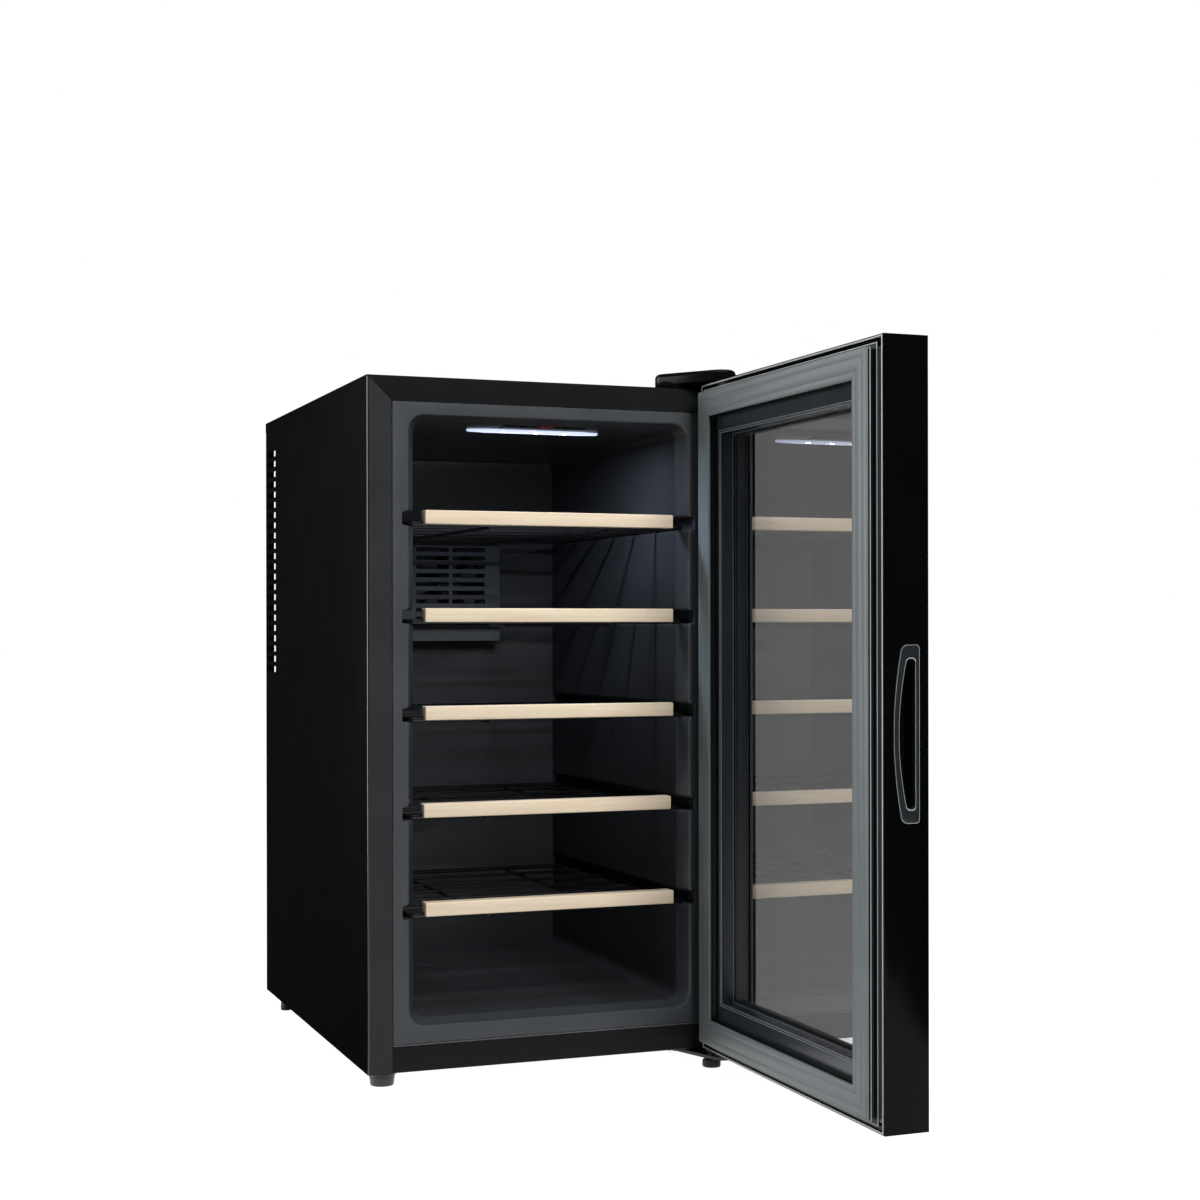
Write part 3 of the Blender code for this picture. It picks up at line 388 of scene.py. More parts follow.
def cut(obj, bm):
    """Takes a closed mesh away from an object."""
    modifier = obj.modifiers.new("Difference", "BOOLEAN")
    modifier.operation = "DIFFERENCE"
    modifier.object = helper(f"tool_{obj.name}_{len(obj.modifiers)}", bm)


def loft(bm, loops, closed_ends=True, ring=False):
    """Faces between successive loops of points. A ring joins the last loop to the first. Gives the rows."""
    rows = [[bm.verts.new(p) for p in loop] for loop in loops]
    pairs = list(zip(rows, rows[1:]))
    if ring:
        pairs.append((rows[-1], rows[0]))
    for a, b in pairs:
        for i in range(len(a)):
            j = (i + 1) % len(a)
            bm.faces.new((a[i], a[j], b[j], b[i]))
    if closed_ends and not ring:
        bm.faces.new(rows[0])
        bm.faces.new(rows[-1])
    return rows


def box(bm, lo, hi):
    """A plain block between two corners."""
    lo, hi = Vector(lo), Vector(hi)
    place = Matrix.Translation((lo + hi) / 2) @ Matrix.Diagonal((*(hi - lo), 1))
    bmesh.ops.create_cube(bm, size=1, matrix=place)


def turned(bm, profile, centre, segments=48):
    """A solid of revolution from (radius, height, notch) rows. A notch draws two points of every four in."""
    loops = []
    for radius, height, notch in profile:
        loop = []
        for i in range(segments):
            angle = 2 * math.pi * i / segments
            reach = max(radius - (notch if i % 4 in (0, 1) else 0), 1e-5)
            loop.append(centre + Vector((reach * math.cos(angle), reach * math.sin(angle), height)))
        loops.append(loop)
    loft(bm, loops)


def arc(centre, radius, start, end, steps):
    """Points of an arc, both ends included. Angles in degrees."""
    turn = math.radians(end - start) / steps
    angles = (math.radians(start) + turn * i for i in range(steps + 1))
    return [(centre[0] + radius * math.cos(a), centre[1] + radius * math.sin(a)) for a in angles]


def wire_section(point, across, up, radius, sides=12):
    """The round section of a wire at a point of its path."""
    turns = (2 * math.pi * i / sides for i in range(sides))
    return [point + radius * (math.cos(t) * across + math.sin(t) * up) for t in turns]


def straight_wire(bm, start, end, radius):
    """A level round wire, its ends closed."""
    along = (end - start).normalized()
    across = along.cross(UP).normalized()
    up = across.cross(along)
    loft(bm, [wire_section(point, across, up, radius) for point in (start, end)])


def wire_ring(bm, path, radius):
    """A round wire along a closed level path."""
    loops = []
    for i, point in enumerate(path):
        along = (path[(i + 1) % len(path)] - path[i - 1]).normalized()
        loops.append(wire_section(point, along.cross(UP).normalized(), UP, radius))
    loft(bm, loops, ring=True)


def bead(centre, radius, sides=8, squash=1.0):
    """The round section of a bead about an (inset, depth) centre."""
    turns = (2 * math.pi * i / sides for i in range(sides))
    return [(centre[0] + radius * math.cos(t), centre[1] + radius * squash * math.sin(t)) for t in turns]


def rectangle(half, low, high):
    """Four (x, z) corners about the cabinet's middle, from the lower right one round to the lower left."""
    return [(half, low), (half, high), (-half, high), (-half, low)]


# ================================================================ cabinet
def folded_panel(name, side):
    """One side of the case: folded round to the front as the stile and round to the back as a hem."""
    hem, fold = 0.009, 0.0009
    near = HALF - TRIM
    outer = arc((near + fold, fold), fold, 180, 270, 4) + arc((HALF - BEND, BEND), BEND, -90, 0, 8)
    outer += arc((HALF - BEND, DEPTH - BEND), BEND, 0, 90, 4) + [(HALF - hem, DEPTH)]
    inner = [(HALF - hem, DEPTH - SHEET)]
    inner += arc((HALF - BEND, DEPTH - BEND), BEND - SHEET, 90, 0, 4)
    inner += arc((HALF - BEND, BEND), BEND - SHEET, 0, -90, 8) + [(near + fold, SHEET)]
    slope = TOP_TRIM / TRIM

    def top(x, y):
        """The front stile ends in a mitre under the lid; the rest is cut level."""
        if y > BEND:
            return SIDE_TOP
        return min(SIDE_TOP, HEIGHT - TOP_TRIM - GAP + (x - HALF + TRIM) * slope)

    bm = bmesh.new()
    outline = outer + inner
    low = [cab(side * x, y, 0) for x, y in outline]
    high = [cab(side * x, y, top(x, y)) for x, y in outline]
    loft(bm, [low, high])
    bmesh.ops.recalc_face_normals(bm, faces=bm.faces)
    # The stile's front faces get the lighter satin paint as a painted sheen; the bend faces get the glossier
    # paint as a painted highlight.
    for face in bm.faces:
        if face.calc_center_median().y < CABINET.y + BEND:
            face.material_index = 1 if face.normal.y < -0.97 else 2
    made = piece(name, bm, "painted_steel", "cabinet", [name])
    made.data.materials.append(MATERIALS["stile_sheen_paint"])
    made.data.materials.append(MATERIALS["bend_highlight_paint"])
    cut(made, vent_slots(side))


def vent_slots(side):
    """All air slots of one side as a mesh that cuts through its sheet."""
    slots = bmesh.new()
    outside, inside = side * (HALF + 0.002), side * (HALF - 0.003)
    for y0, y1 in VENT_COLUMNS:
        for row in range(VENT_ROWS):
            low = VENT_LOWEST + row * VENT_PITCH
            high = low + VENT_HEIGHT
            shape = arc((y1 - VENT_RADIUS, low + VENT_RADIUS), VENT_RADIUS, -90, 0, 3)
            shape += arc((y1 - VENT_RADIUS, high - VENT_RADIUS), VENT_RADIUS, 0, 90, 3)
            shape += arc((y0 + VENT_RADIUS, high - VENT_RADIUS), VENT_RADIUS, 90, 180, 3)
            shape += arc((y0 + VENT_RADIUS, low + VENT_RADIUS), VENT_RADIUS, 180, 270, 3)
            loft(slots, [[cab(x, y, z) for y, z in shape] for x in (outside, inside)])
    return slots


def lid():
    """The top sheet, bent down in front as the top rail, with mitred ends, and down at the back."""
    hem = 0.010
    low = HEIGHT - TOP_TRIM
    front, back = (BEND, HEIGHT - BEND), (DEPTH - BEND, HEIGHT - BEND)
    outer = [(0.0, low)] + arc(front, BEND, 180, 90, 6) + arc(back, BEND, 90, 0, 4) + [(DEPTH, HEIGHT - hem)]
    inner = [(DEPTH - SHEET, HEIGHT - hem)] + arc(back, BEND - SHEET, 0, 90, 4)
    inner += arc(front, BEND - SHEET, 90, 180, 6) + [(SHEET, low)]

    def half(y, z):
        if y > BEND + SHEET / 10:
            return HALF
        return min(HALF, HALF - TRIM + (z - low) * TRIM / TOP_TRIM)

    bm = bmesh.new()
    outline = outer + inner
    loft(bm, [[cab(side * half(y, z), y, z) for y, z in outline] for side in (-1, 1)])
    bmesh.ops.recalc_face_normals(bm, faces=bm.faces)
    for face in bm.faces:
        face.material_index = int(face.normal.y < -0.9)
    made = piece("lid", bm, "painted_steel", "cabinet", ["top_panel"])
    made.data.materials.append(MATERIALS["trim_steel"])


def bottom_rail():
    """The rail across the foot of the opening, folded back under the cabinet."""
    half, bend, fold, thick = HALF - TRIM - GAP, 0.0015, 0.008, 0.0008
    low, high = (bend, bend), (bend, BOTTOM_TRIM - bend)
    outer = [(fold, 0.0)] + arc(low, bend, 270, 180, 5) + arc(high, bend, 180, 90, 5)
    inner = arc(high, bend - thick, 90, 180, 5) + arc(low, bend - thick, 180, 270, 5) + [(fold, thick)]
    bm = bmesh.new()
    loft(bm, [[cab(side * half, y, z) for y, z in outer + inner] for side in (-1, 1)])
    bmesh.ops.recalc_face_normals(bm, faces=bm.faces)
    # The upper bend faces take the pale glossy paint: a painted highlight.
    for face in bm.faces:
        upper = face.calc_center_median().z > CABINET.z + BOTTOM_TRIM / 2
        face.material_index = int(upper and face.normal.z > 0.25)
    made = piece("bottom_rail", bm, "trim_steel", "cabinet", ["bottom_front_rail"])
    made.data.materials.append(MATERIALS["rail_top_highlight"])


# ================================================================ liner
def cavity_outline(half, bottom, top, radius):
    """The compartment's outline with a rounded shelf groove on both sides of each shelf."""
    soft, steps = 0.0022, 10
    side = []
    for index in range(SHELVES):
        middle = LOWEST_SHELF + SHELF_PITCH * index
        low, high = middle - GROOVE_BELOW, middle + GROOVE_ABOVE
        side += arc((half + soft, low - soft), soft, 180, 90, 3)
        side += arc((GROOVE_HALF - soft, low + soft), soft, -90, 0, 3)
        side += arc((GROOVE_HALF - soft, high - soft), soft, 0, 90, 3)
        side += arc((half + soft, high + soft), soft, 270, 180, 3)
    right = half - radius
    return (
        arc((right, bottom + radius), radius, -90, 0, steps)
        + side
        + arc((right, top - radius), radius, 0, 90, steps)
        + arc((-right, top - radius), radius, 90, 180, steps)
        + [(-u, v) for u, v in reversed(side)]
        + arc((-right, bottom + radius), radius, 180, 270, steps)
    )


def mouth_level(share, y):
    """The mouth's half width, bottom, top, corner radius and depth, part of the way down the lip's bevel."""
    bottom, top = MOUTH_BOTTOM + LIP_RISE * share, MOUTH_TOP - LIP_DROP * share
    return MOUTH_HALF - LIP_INSET * share, bottom, top, MOUTH_RADIUS - RADIUS_LOSS * share, y


def wall_level(share, grow=0.0):
    """The same part of the way back along the drafted walls; grow pulls the outline in."""
    y = LIP + (CAVITY_DEPTH - LIP) * share
    draft = CAVITY_DRAFT * share
    bottom, top = MOUTH_BOTTOM + LIP_RISE + draft + grow, MOUTH_TOP - LIP_DROP - draft - grow
    return MOUTH_HALF - LIP_INSET - draft - grow, bottom, top, MOUTH_RADIUS - RADIUS_LOSS, y


def level_loop(half, bottom, top, radius, y):
    """The compartment's outline at one depth, as points."""
    return [cab(u, y, v) for u, v in cavity_outline(half, bottom, top, radius)]


def flange_loop(inset, y):
    """The flange's outer edge at an inset, as four corners."""
    half, low, high = HALF - TRIM - FLANGE_GAP, BOTTOM_TRIM + FLANGE_GAP, HEIGHT - TOP_TRIM - FLANGE_GAP
    return [cab(u, y, v) for u, v in rectangle(half - inset, low + inset, high - inset)]


def liner_edges():
    """Thin pale beads that are painted highlights: where the flange rolls into the mouth, and round the
    flange's outside.
    """
    thin, sides = 0.0004, 6
    turns = [2 * math.pi * i / sides for i in range(sides)]
    mouth = [mouth_level(0.03 + 0.05 * math.cos(t), 0.0010 + thin * math.sin(t)) for t in turns]
    rings = {
        "mouth_highlight": [level_loop(*level) for level in mouth],
        "flange_highlight": [flange_loop(inset, y) for inset, y in bead((0.0005, 0.0008), thin, sides)],
    }
    for name, loops in rings.items():
        bm = bmesh.new()
        loft(bm, loops, ring=True)
        piece(name, bm, "mouth_highlight", "cabinet")


def liner():
    """The formed inner box: flange, rolled mouth, bevelled lip, drafted walls, rounded back."""
    front = 0.0006
    rolled = [(-0.20, front), (-0.07, front + 0.0001), (0.0, front + 0.0005), (0.05, front + 0.0012)]
    sections = [mouth_level(share, y) for share, y in rolled]
    sections += [mouth_level(0.95, LIP - 0.0012), mouth_level(0.99, LIP - 0.0002)]
    sections += [wall_level(0.004), wall_level(0.5), wall_level(0.975)]
    sections += [wall_level(0.99, 0.0008)[:4] + (CAVITY_DEPTH - 0.0012,)]
    sections += [wall_level(1.0, 0.0030)[:4] + (CAVITY_DEPTH,)]
    bm = bmesh.new()
    rows = loft(bm, [level_loop(*section) for section in sections], closed_ends=False)
    bm.faces.new(rows[-1])
    turned_in = ((0.0008, front), (0.0002, front + 0.0003), (0.0, front + 0.0010))
    edge = loft(bm, [flange_loop(inset, y) for inset, y in turned_in], closed_ends=False)
    rim = []
    for loop in (edge[0], rows[0]):
        rim += [bm.edges.get(pair) for pair in zip(loop, loop[1:] + loop[:1])]
    bmesh.ops.triangle_fill(bm, use_beauty=True, use_dissolve=False, edges=rim)
    # Faces behind the rolled edge take the darker lip paint, and faces behind the lip take the darker wall
    # paint: painted shade.
    for face in bm.faces:
        deep = face.calc_center_median().y - CABINET.y
        face.material_index = 2 if deep > LIP else int(deep > ROLL_DEPTH)
    made = piece("liner_shell", bm, "liner", "cabinet", ["inner_liner"])
    made.data.materials.append(MATERIALS["lip_painted_shade"])
    made.data.materials.append(MATERIALS["walls_painted_shade"])
    liner_edges()
    evened = made.modifiers.new("Flat flange", "WEIGHTED_NORMAL")
    evened.keep_sharp = True
    thick = made.modifiers.new("Sheet", "SOLIDIFY")
    thick.thickness = SHEET
    thick.offset = -1


# ================================================================ shelves
def shelf(index):
    """A coated wire rack and the beech strip across its front."""
    body = f"shelf_{index}"
    wood_lo, wood_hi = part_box(f"{body}_front")
    wire_lo, wire_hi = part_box(f"{body}_wires")
    rebate = 0.0066
    lift = wire_hi.z + GAP
    soft = 0.0009
    y0, y1, z0, z1 = wood_lo.y, wood_hi.y, wood_lo.z, wood_hi.z
    section = [(y0 + rebate, z0), (y0 + rebate, lift), (y1, lift)]
    section += arc((y1 - soft, z1 - soft), soft, 0, 90, 3)
    section += arc((y0 + soft, z1 - soft), soft, 90, 180, 3)
    section += arc((y0 + soft, z0 + soft), soft, 180, 270, 3)
    bm = bmesh.new()
    ends = [(0.0007, wood_lo.x), (0.0002, wood_lo.x + 0.0003), (0.0, wood_lo.x + 0.0008)]
    stations = ends + [(inset, wood_lo.x + wood_hi.x - x) for inset, x in reversed(ends)]
    middle = Vector(((y0 + y1) / 2, (z0 + z1) / 2))

    def shrunk(point, inset):
        offset = Vector(point) - middle
        return middle + Vector(math.copysign(max(abs(c) - inset, 0), c) for c in offset)

    loft(bm, [[Vector((x, *shrunk(p, inset))) for p in section] for inset, x in stations])
    piece(f"{body}_strip", bm, "wood", body, [f"{body}_front"])

    radius = (wire_hi.z - wire_lo.z) / 2
    z = (wire_hi.z + wire_lo.z) / 2
    left, right = wire_lo.x + radius, wire_hi.x - radius
    near, far = wire_lo.y + radius, wire_hi.y - radius
    turn = 0.007
    outline = arc((right - turn, near + turn), turn, -90, 0, 6)
    outline += arc((right - turn, far - turn), turn, 0, 90, 6)
    outline += arc((left + turn, far - turn), turn, 90, 180, 6)
    outline += arc((left + turn, near + turn), turn, 180, 270, 6)
    bm = bmesh.new()
    wire_ring(bm, [Vector((x, y, z)) for x, y in outline], radius)
    thin, spans = 0.0016, 6
    for i in range(1, spans):
        y = near + (far - near) * i / spans
        straight_wire(bm, Vector((left, y, z)), Vector((right, y, z)), thin)
    under = z - thin * 1.6
    for share in (0.28, 0.72):
        x = left + (right - left) * share
        straight_wire(bm, Vector((x, near, under)), Vector((x, far, under)), thin)
    piece(f"{body}_rack", bm, "wire", body, [f"{body}_wires"])


# ================================================================ light
def ceiling_light():
    """The long lens with its tapered ends, three bright lamps in it and the two figures of the display."""
    lo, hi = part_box("light_lens")
    corner, taper, rim, half = 0.0055, 0.018, 0.0014, 0.008
    middle = (lo + hi) / 2
    bm = bmesh.new()

    def outline(inset, z):
        x0, x1, y0, y1 = lo.x + inset, hi.x - inset, middle.y - half + inset, middle.y + half - inset
        points = [(x0, y0 + corner), (x0 + taper, y0), (x1 - taper, y0), (x1, y0 + corner)]
        points += [(x1, y1 - corner), (x1 - taper, y1), (x0 + taper, y1), (x0, y1 - corner)]
        return [Vector((x, y, z)) for x, y in points]

    levels = [(0, hi.z), (0, lo.z + 0.0006), (0.0006, lo.z), (rim, lo.z)]
    levels += [(rim + 0.0003, lo.z + 0.0005), (rim + 0.003, lo.z + 0.0003)]
    loft(bm, [outline(*level) for level in levels])
    piece("lamp_lens", bm, "lens", "cabinet", ["light_lens"])
    bm = bmesh.new()
    dome = [(0.0, 0.0, 0), (0.0018, 0.0, 0), (0.0022, 0.0002, 0), (0.0022, 0.0008, 0), (0.0, 0.0008, 0)]
    for x in (-0.030, 0.003, 0.030):
        turned(bm, dome, Vector((CENTRE + x, middle.y - 0.002, lo.z - 0.0001)), segments=20)
    piece("lamp_points", bm, "lamp", "cabinet")
    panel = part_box("control_panel")[0]
    figure = Vector((0.005, 0.0006, 0.0010))
    bm = bmesh.new()
    for x in (-0.004, 0.004):
        low = Vector((CENTRE + x - figure.x / 2, panel.y - 0.0002, panel.z + 0.0004))
        box(bm, low, low + figure)
    made = piece("display_glow", bm, "display", "cabinet", smooth=False)
    round_edges(made, 0.0001, 1)


# ================================================================ door
def mitred(bm, profile, margins=None):
    """A mitred frame swept from a closed (inset, depth) profile.

    margins moves the inset of each side: hinge, free, bottom, top.
    """
    hinge, free, bottom, top = margins or (0, 0, 0, 0)
    loops = []
    for inset, d in profile:
        a0, a1 = inset + hinge, DOOR_WIDTH - inset - free
        z0, z1 = inset + bottom, DOOR_HEIGHT - inset - top
        loops.append([leaf(a, d, z) for a, z in ((a0, z0), (a1, z0), (a1, z1), (a0, z1))])
    loft(bm, loops, ring=True)


def door_shell():
    """The black frame: slim lip round the inner face, glossy edges, chamfered front opening."""
    soft, lip = 0.0009, 0.0026
    window, rebate, seat = 0.0440, 0.0350, 0.0288
    front = DOOR_THICK
    profile = [(lip, 0.0015), (lip, 0.0004), (lip - 0.0004, 0.0)]
    profile += arc((soft, soft), soft, 270, 180, 4)
    profile += arc((soft, front - soft), soft, 180, 90, 4)
    profile += [(window - 0.0070, front), (window - 0.0062, front - 0.0006), (window, seat + 0.0002)]
    profile += [(window, seat), (rebate, seat), (rebate, 0.0015)]
    bm = bmesh.new()
    mitred(bm, profile)
    return piece("door_shell", bm, "door_gloss", "door", ["door_frame"])


def door_bead():
    """The thin pale bead that runs round the inner face close to the door's edge: its pale colour is a
    painted highlight.
    """
    bm = bmesh.new()
    mitred(bm, bead((0.0017, 0.0001), 0.0007, sides=10, squash=0.8))
    piece("door_edge_highlight_bead", bm, "edge_highlight", "door")


def inner_surround():
    """The glossy inner frame: a flat band, then a step down to the glass."""
    rim, window = 0.0030, 0.0427
    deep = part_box("door_inner_frame")[1].x - INNER_FACE
    profile = [(rim, 0.0012), (rim, 0.0005), (rim + 0.0005, 0.0)]
    profile += [(window - 0.0009, 0.0), (window - 0.0002, 0.0003), (window, 0.0009)]
    profile += [(window + 0.0002, deep - 0.0006), (window - 0.0012, deep)]
    profile += [(SURROUND_BACK, deep), (SURROUND_BACK, 0.0012)]
    bm = bmesh.new()
    mitred(bm, profile, SURROUND_MARGINS)
    piece("inner_surround", bm, "door_inner", "door", ["door_inner_frame"])
    # Beads along the band's edge and the step to the glass, pale as painted highlights.
    bm = bmesh.new()
    for centre in ((window - 0.0022, 0.0), (window - 0.0003, 0.0004), (window + 0.0001, deep - 0.0008)):
        mitred(bm, bead(centre, BEAD), SURROUND_MARGINS)
    piece("recess_highlight_beads", bm, "recess_highlight", "door")


def gasket():
    """The magnetic seal: a ridged grey face, folded side walls below it painted black as shade, and thin
    pale ribs along them as painted highlights.
    """
    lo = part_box("door_gasket")[0]
    outer = DOOR_WIDTH - (DOOR.y - lo.y)
    inner = outer + GASKET_WIDTH
    f = lo.x - INNER_FACE
    margins = (0, 0, GASKET_SHIFT, GASKET_SHIFT)
    ridge, groove = 0.0001, 0.00025
    face = [(outer + 0.0006, f + 0.0026), (outer, f + 0.0018)]
    face += [(outer + 0.0001, f + 0.0006), (outer + 0.0008, f + ridge)]
    for place in (0.0062, GASKET_WIDTH - 0.0068):
        face += [(outer + place, f + ridge), (outer + place + 0.0004, f + groove)]
        face += [(outer + place + 0.0009, f + groove), (outer + place + 0.0013, f)]
    face += [(inner - 0.0008, f + ridge), (inner - 0.0001, f + 0.0006), (inner, f + 0.0018)]
    face += [(inner - 0.0006, f + 0.0026)]
    bm = bmesh.new()
    mitred(bm, face, margins)
    piece("door_seal", bm, "gasket", "door", ["door_gasket"])

    # The seal's folded side walls, painted near-black as the shade under the face.
    fold = [(outer + 0.0010, f + 0.0022), (outer + 0.0026, f + 0.0034), (outer + 0.0010, f + 0.0044)]
    fold += [(outer + 0.0022, f + 0.0056), (outer + 0.0014, f + 0.0074), (outer - 0.0020, f + 0.0082)]
    fold += [(outer - 0.0036, f + 0.0086), (outer - 0.0036, -0.0001), (inner + 0.0010, -0.0001)]
    fold += [(inner + 0.0010, f + 0.0084), (inner - 0.0018, f + 0.0076), (inner - 0.0026, f + 0.0060)]
    fold += [(inner - 0.0010, f + 0.0050), (inner - 0.0024, f + 0.0036), (inner - 0.0010, f + 0.0022)]
    bm = bmesh.new()
    mitred(bm, fold, margins)
    piece("seal_folds_painted_shade", bm, "bellows_painted_shade", "door")

    # Thin pale ribs along the seal's folds: painted highlights.
    bm = bmesh.new()
    for centre in ((outer + 0.0006, f + 0.0043), (outer - 0.0030, f + 0.0084)):
        mitred(bm, bead(centre, BEAD), margins)
    piece("seal_ribs", bm, "edge_highlight", "door")


def inner_glass():
    """The coated pane: its front face is the part mirror, its back and edges only clear."""
    lo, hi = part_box("door_inner_pane")
    bm = bmesh.new()
    soft = 0.0004

    def outline(inset, x):
        corners = [(lo.y + inset, lo.z + inset), (hi.y - inset, lo.z + inset)]
        corners += [(hi.y - inset, hi.z - inset), (lo.y + inset, hi.z - inset)]
        return [Vector((x, y, z)) for y, z in corners]

    loft(bm, [outline(soft, lo.x), outline(0, lo.x + soft), outline(0, hi.x - soft), outline(soft, hi.x)])
    bmesh.ops.recalc_face_normals(bm, faces=bm.faces)
    for face in bm.faces:
        face.material_index = int(face.calc_center_median().x > lo.x + soft / 4)
    nodes = ["door_inner_pane"]
    made = piece("inner_glass", bm, "mirror_glass", "door", nodes, smooth=False)
    made.data.materials.append(MATERIALS["clear_glass"])


def spacer():
    """The perforated strip that holds the two panes apart."""
    lo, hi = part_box("glass_spacer")
    near, far = lo.x - INNER_FACE, hi.x - INNER_FACE
    outer, inner, soft = SPACER_INSET, SPACER_INSET + SPACER_WIDTH, 0.0006
    profile = [(outer, near), (outer, far), (inner - soft, far)]
    profile += [(inner, far - soft), (inner, near + soft), (inner - soft, near)]
    bm = bmesh.new()
    mitred(bm, profile, SURROUND_MARGINS)
    piece("pane_spacer", bm, "spacer", "door", ["glass_spacer"])


def handle_outline(wall):
    """The D shape of the handle: straight towards the door's front, bulging towards its inner face."""
    lo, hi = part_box("handle_insert")
    straight = hi.x - INNER_FACE - wall * 0.75
    back = hi.x - INNER_FACE - HANDLE_ENDS + wall
    half = (hi.z - lo.z) / 2 - wall * (1.0 if wall < 0.001 else 2.2)
    small, large = 0.0030, 0.0065 - wall / 2
    curve, steps = [], 16
    for i in range(steps + 1):
        t = 1 - 2 * i / steps
        curve.append((back - HANDLE_BULGE * (1 - t * t), -t * (half - large)))
    low = arc((straight - small, -half + small), small, 0, -90, 5)
    low += arc((back + large, -half + large), large, 270, 200, 5)
    high = arc((back + large, half - large), large, 160, 90, 5)
    high += arc((straight - small, half - small), small, 90, 0, 5)
    return low + curve[1:-1] + high


def handle():
    """The grip in the free edge: a narrow raised bezel round a deep finger pocket."""
    lo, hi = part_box("handle_insert")
    middle = (lo.z + hi.z) / 2 - DOOR.z
    proud = DOOR.y - DOOR_WIDTH - lo.y

    def at(wall, out):
        return [leaf(DOOR_WIDTH + out, d, middle + z) for d, z in handle_outline(wall)]

    bm = bmesh.new()
    sections = [(0.0001, -0.0006), (0.0, proud * 0.3), (0.0002, proud * 0.8), (0.0006, proud)]
    sections += [(0.0046, proud), (0.0050, proud * 0.7), (0.0052, proud * 0.1), (0.0053, -0.004)]
    loft(bm, [at(*s) for s in sections], closed_ends=False)
    piece("handle_bezel", bm, "handle", "door", ["handle_insert"])
    # Thin pale rings round the bezel's rims: painted highlights.
    bm = bmesh.new()
    for wall in (0.0004, 0.0047):
        rim = at(wall, proud)
        ring = [[p + Vector((0, -0.0001, 0)) for p in rim], at(wall + 0.0003, proud)]
        ring += [at(wall + 0.0003, proud * 0.6), at(wall, proud * 0.6)]
        loft(bm, ring, ring=True)
    piece("handle_edges", bm, "edge_highlight", "door")
    bm = bmesh.new()
    sections = [(0.0052, -0.001), (0.0054, -0.0100), (0.0060, -0.0135), (0.0066, -0.0148)]
    loft(bm, [at(*s) for s in reversed(sections)], closed_ends=False)
    bm.faces.new(list(bm.verts)[: len(handle_outline(0))])
    piece("handle_pocket", bm, "pocket", "door")
    return at


def cut_for_handle(shell, at):
    """Opens the frame's free edge where the handle sits."""
    tool = bmesh.new()
    loft(tool, [at(0.0012, 0.004), at(0.0012, -0.0160)])
    cut(shell, tool)


# ================================================================ hinges and feet
def link_outline(first, first_radius, last, last_radius):
    """The outline round two circles and the straight runs between them."""
    a, b = Vector(first), Vector(last)
    run = b - a
    heading = math.degrees(math.atan2(run.y, run.x))
    lean = math.degrees(math.acos((first_radius - last_radius) / run.length))
    outline = arc(b, last_radius, heading - lean, heading + lean, 20)
    return outline + arc(a, first_radius, heading + lean, heading + 360 - lean, 20)


def hinge_cap():
    """The rounded cover over the top hinge, cut away beneath so that the door passes under it."""
    lo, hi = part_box("hinge_cover")
    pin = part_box("top_hinge_pin")
    pivot = ((pin[0] + pin[1]) / 2 - CABINET).xy
    bottom, top = lo.z - CABINET.z, hi.z - CABINET.z
    soft, steps = 0.0042, 7
    bm = bmesh.new()

    def outline(shrink, z):
        shape = link_outline(pivot, HINGE_RADIUS - shrink, HINGE_TAIL, HINGE_TAIL_RADIUS - shrink)
        return [cab(x, y, z) for x, y in shape]

    loops = [outline(0.0005, bottom), outline(0, bottom + 0.0006)]
    for i in range(steps + 1):
        t = math.pi / 2 * i / steps
        loops.append(outline(soft * (1 - math.cos(t)), top - soft + soft * math.sin(t)))
    loops.append(outline(soft + 0.003, top))
    loft(bm, loops)
    made = piece("hinge_cap", bm, "cover_plastic", "cabinet", ["hinge_cover"])
    tool = bmesh.new()
    box(tool, cab(0.09, -0.05, bottom - 0.01), cab(0.19, 0.0012, bottom + 0.0042))
    cut(made, tool)
    tool = bmesh.new()
    loft(tool, [outline(HINGE_WALL, bottom - 0.02), outline(HINGE_WALL, top - 0.0022)])
    cut(made, tool)


def foot(name, body, profile, segments=48):
    """A turned foot on the floor, in the place of its node. The profile starts at its sole."""
    lo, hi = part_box(name)
    bm = bmesh.new()
    turned(bm, profile, Vector(((lo.x + hi.x) / 2, (lo.y + hi.y) / 2, lo.z)), segments)
    piece(f"{name}_turned", bm, "foot_rubber", body, [name])


def plain_foot(name, body, stem):
    """A flared rubber foot with a flange under the cabinet and a stem up into it."""
    lo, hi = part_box(name)
    big = (hi.x - lo.x) / 2
    tall = CABINET.z - GAP
    base = big * 0.80
    rows = [(0, 0.0006), (base * 0.7, 0.0006), (base * 0.75, 0), (base, 0), (base + 0.0004, 0.0005)]
    rows += [(base * 1.02 + 0.0004, 0.0030), (big - 0.0012, tall - 0.0042), (big - 0.0012, tall - 0.0038)]
    rows += [(big - 0.0002, tall - 0.0030), (big, tall - 0.0022), (big, tall - 0.0006), (big - 0.0005, tall)]
    rows += [(stem, tall), (stem, hi.z - 0.0004 - lo.z), (0, hi.z - lo.z)]
    foot(name, body, [(*row, 0) for row in rows])


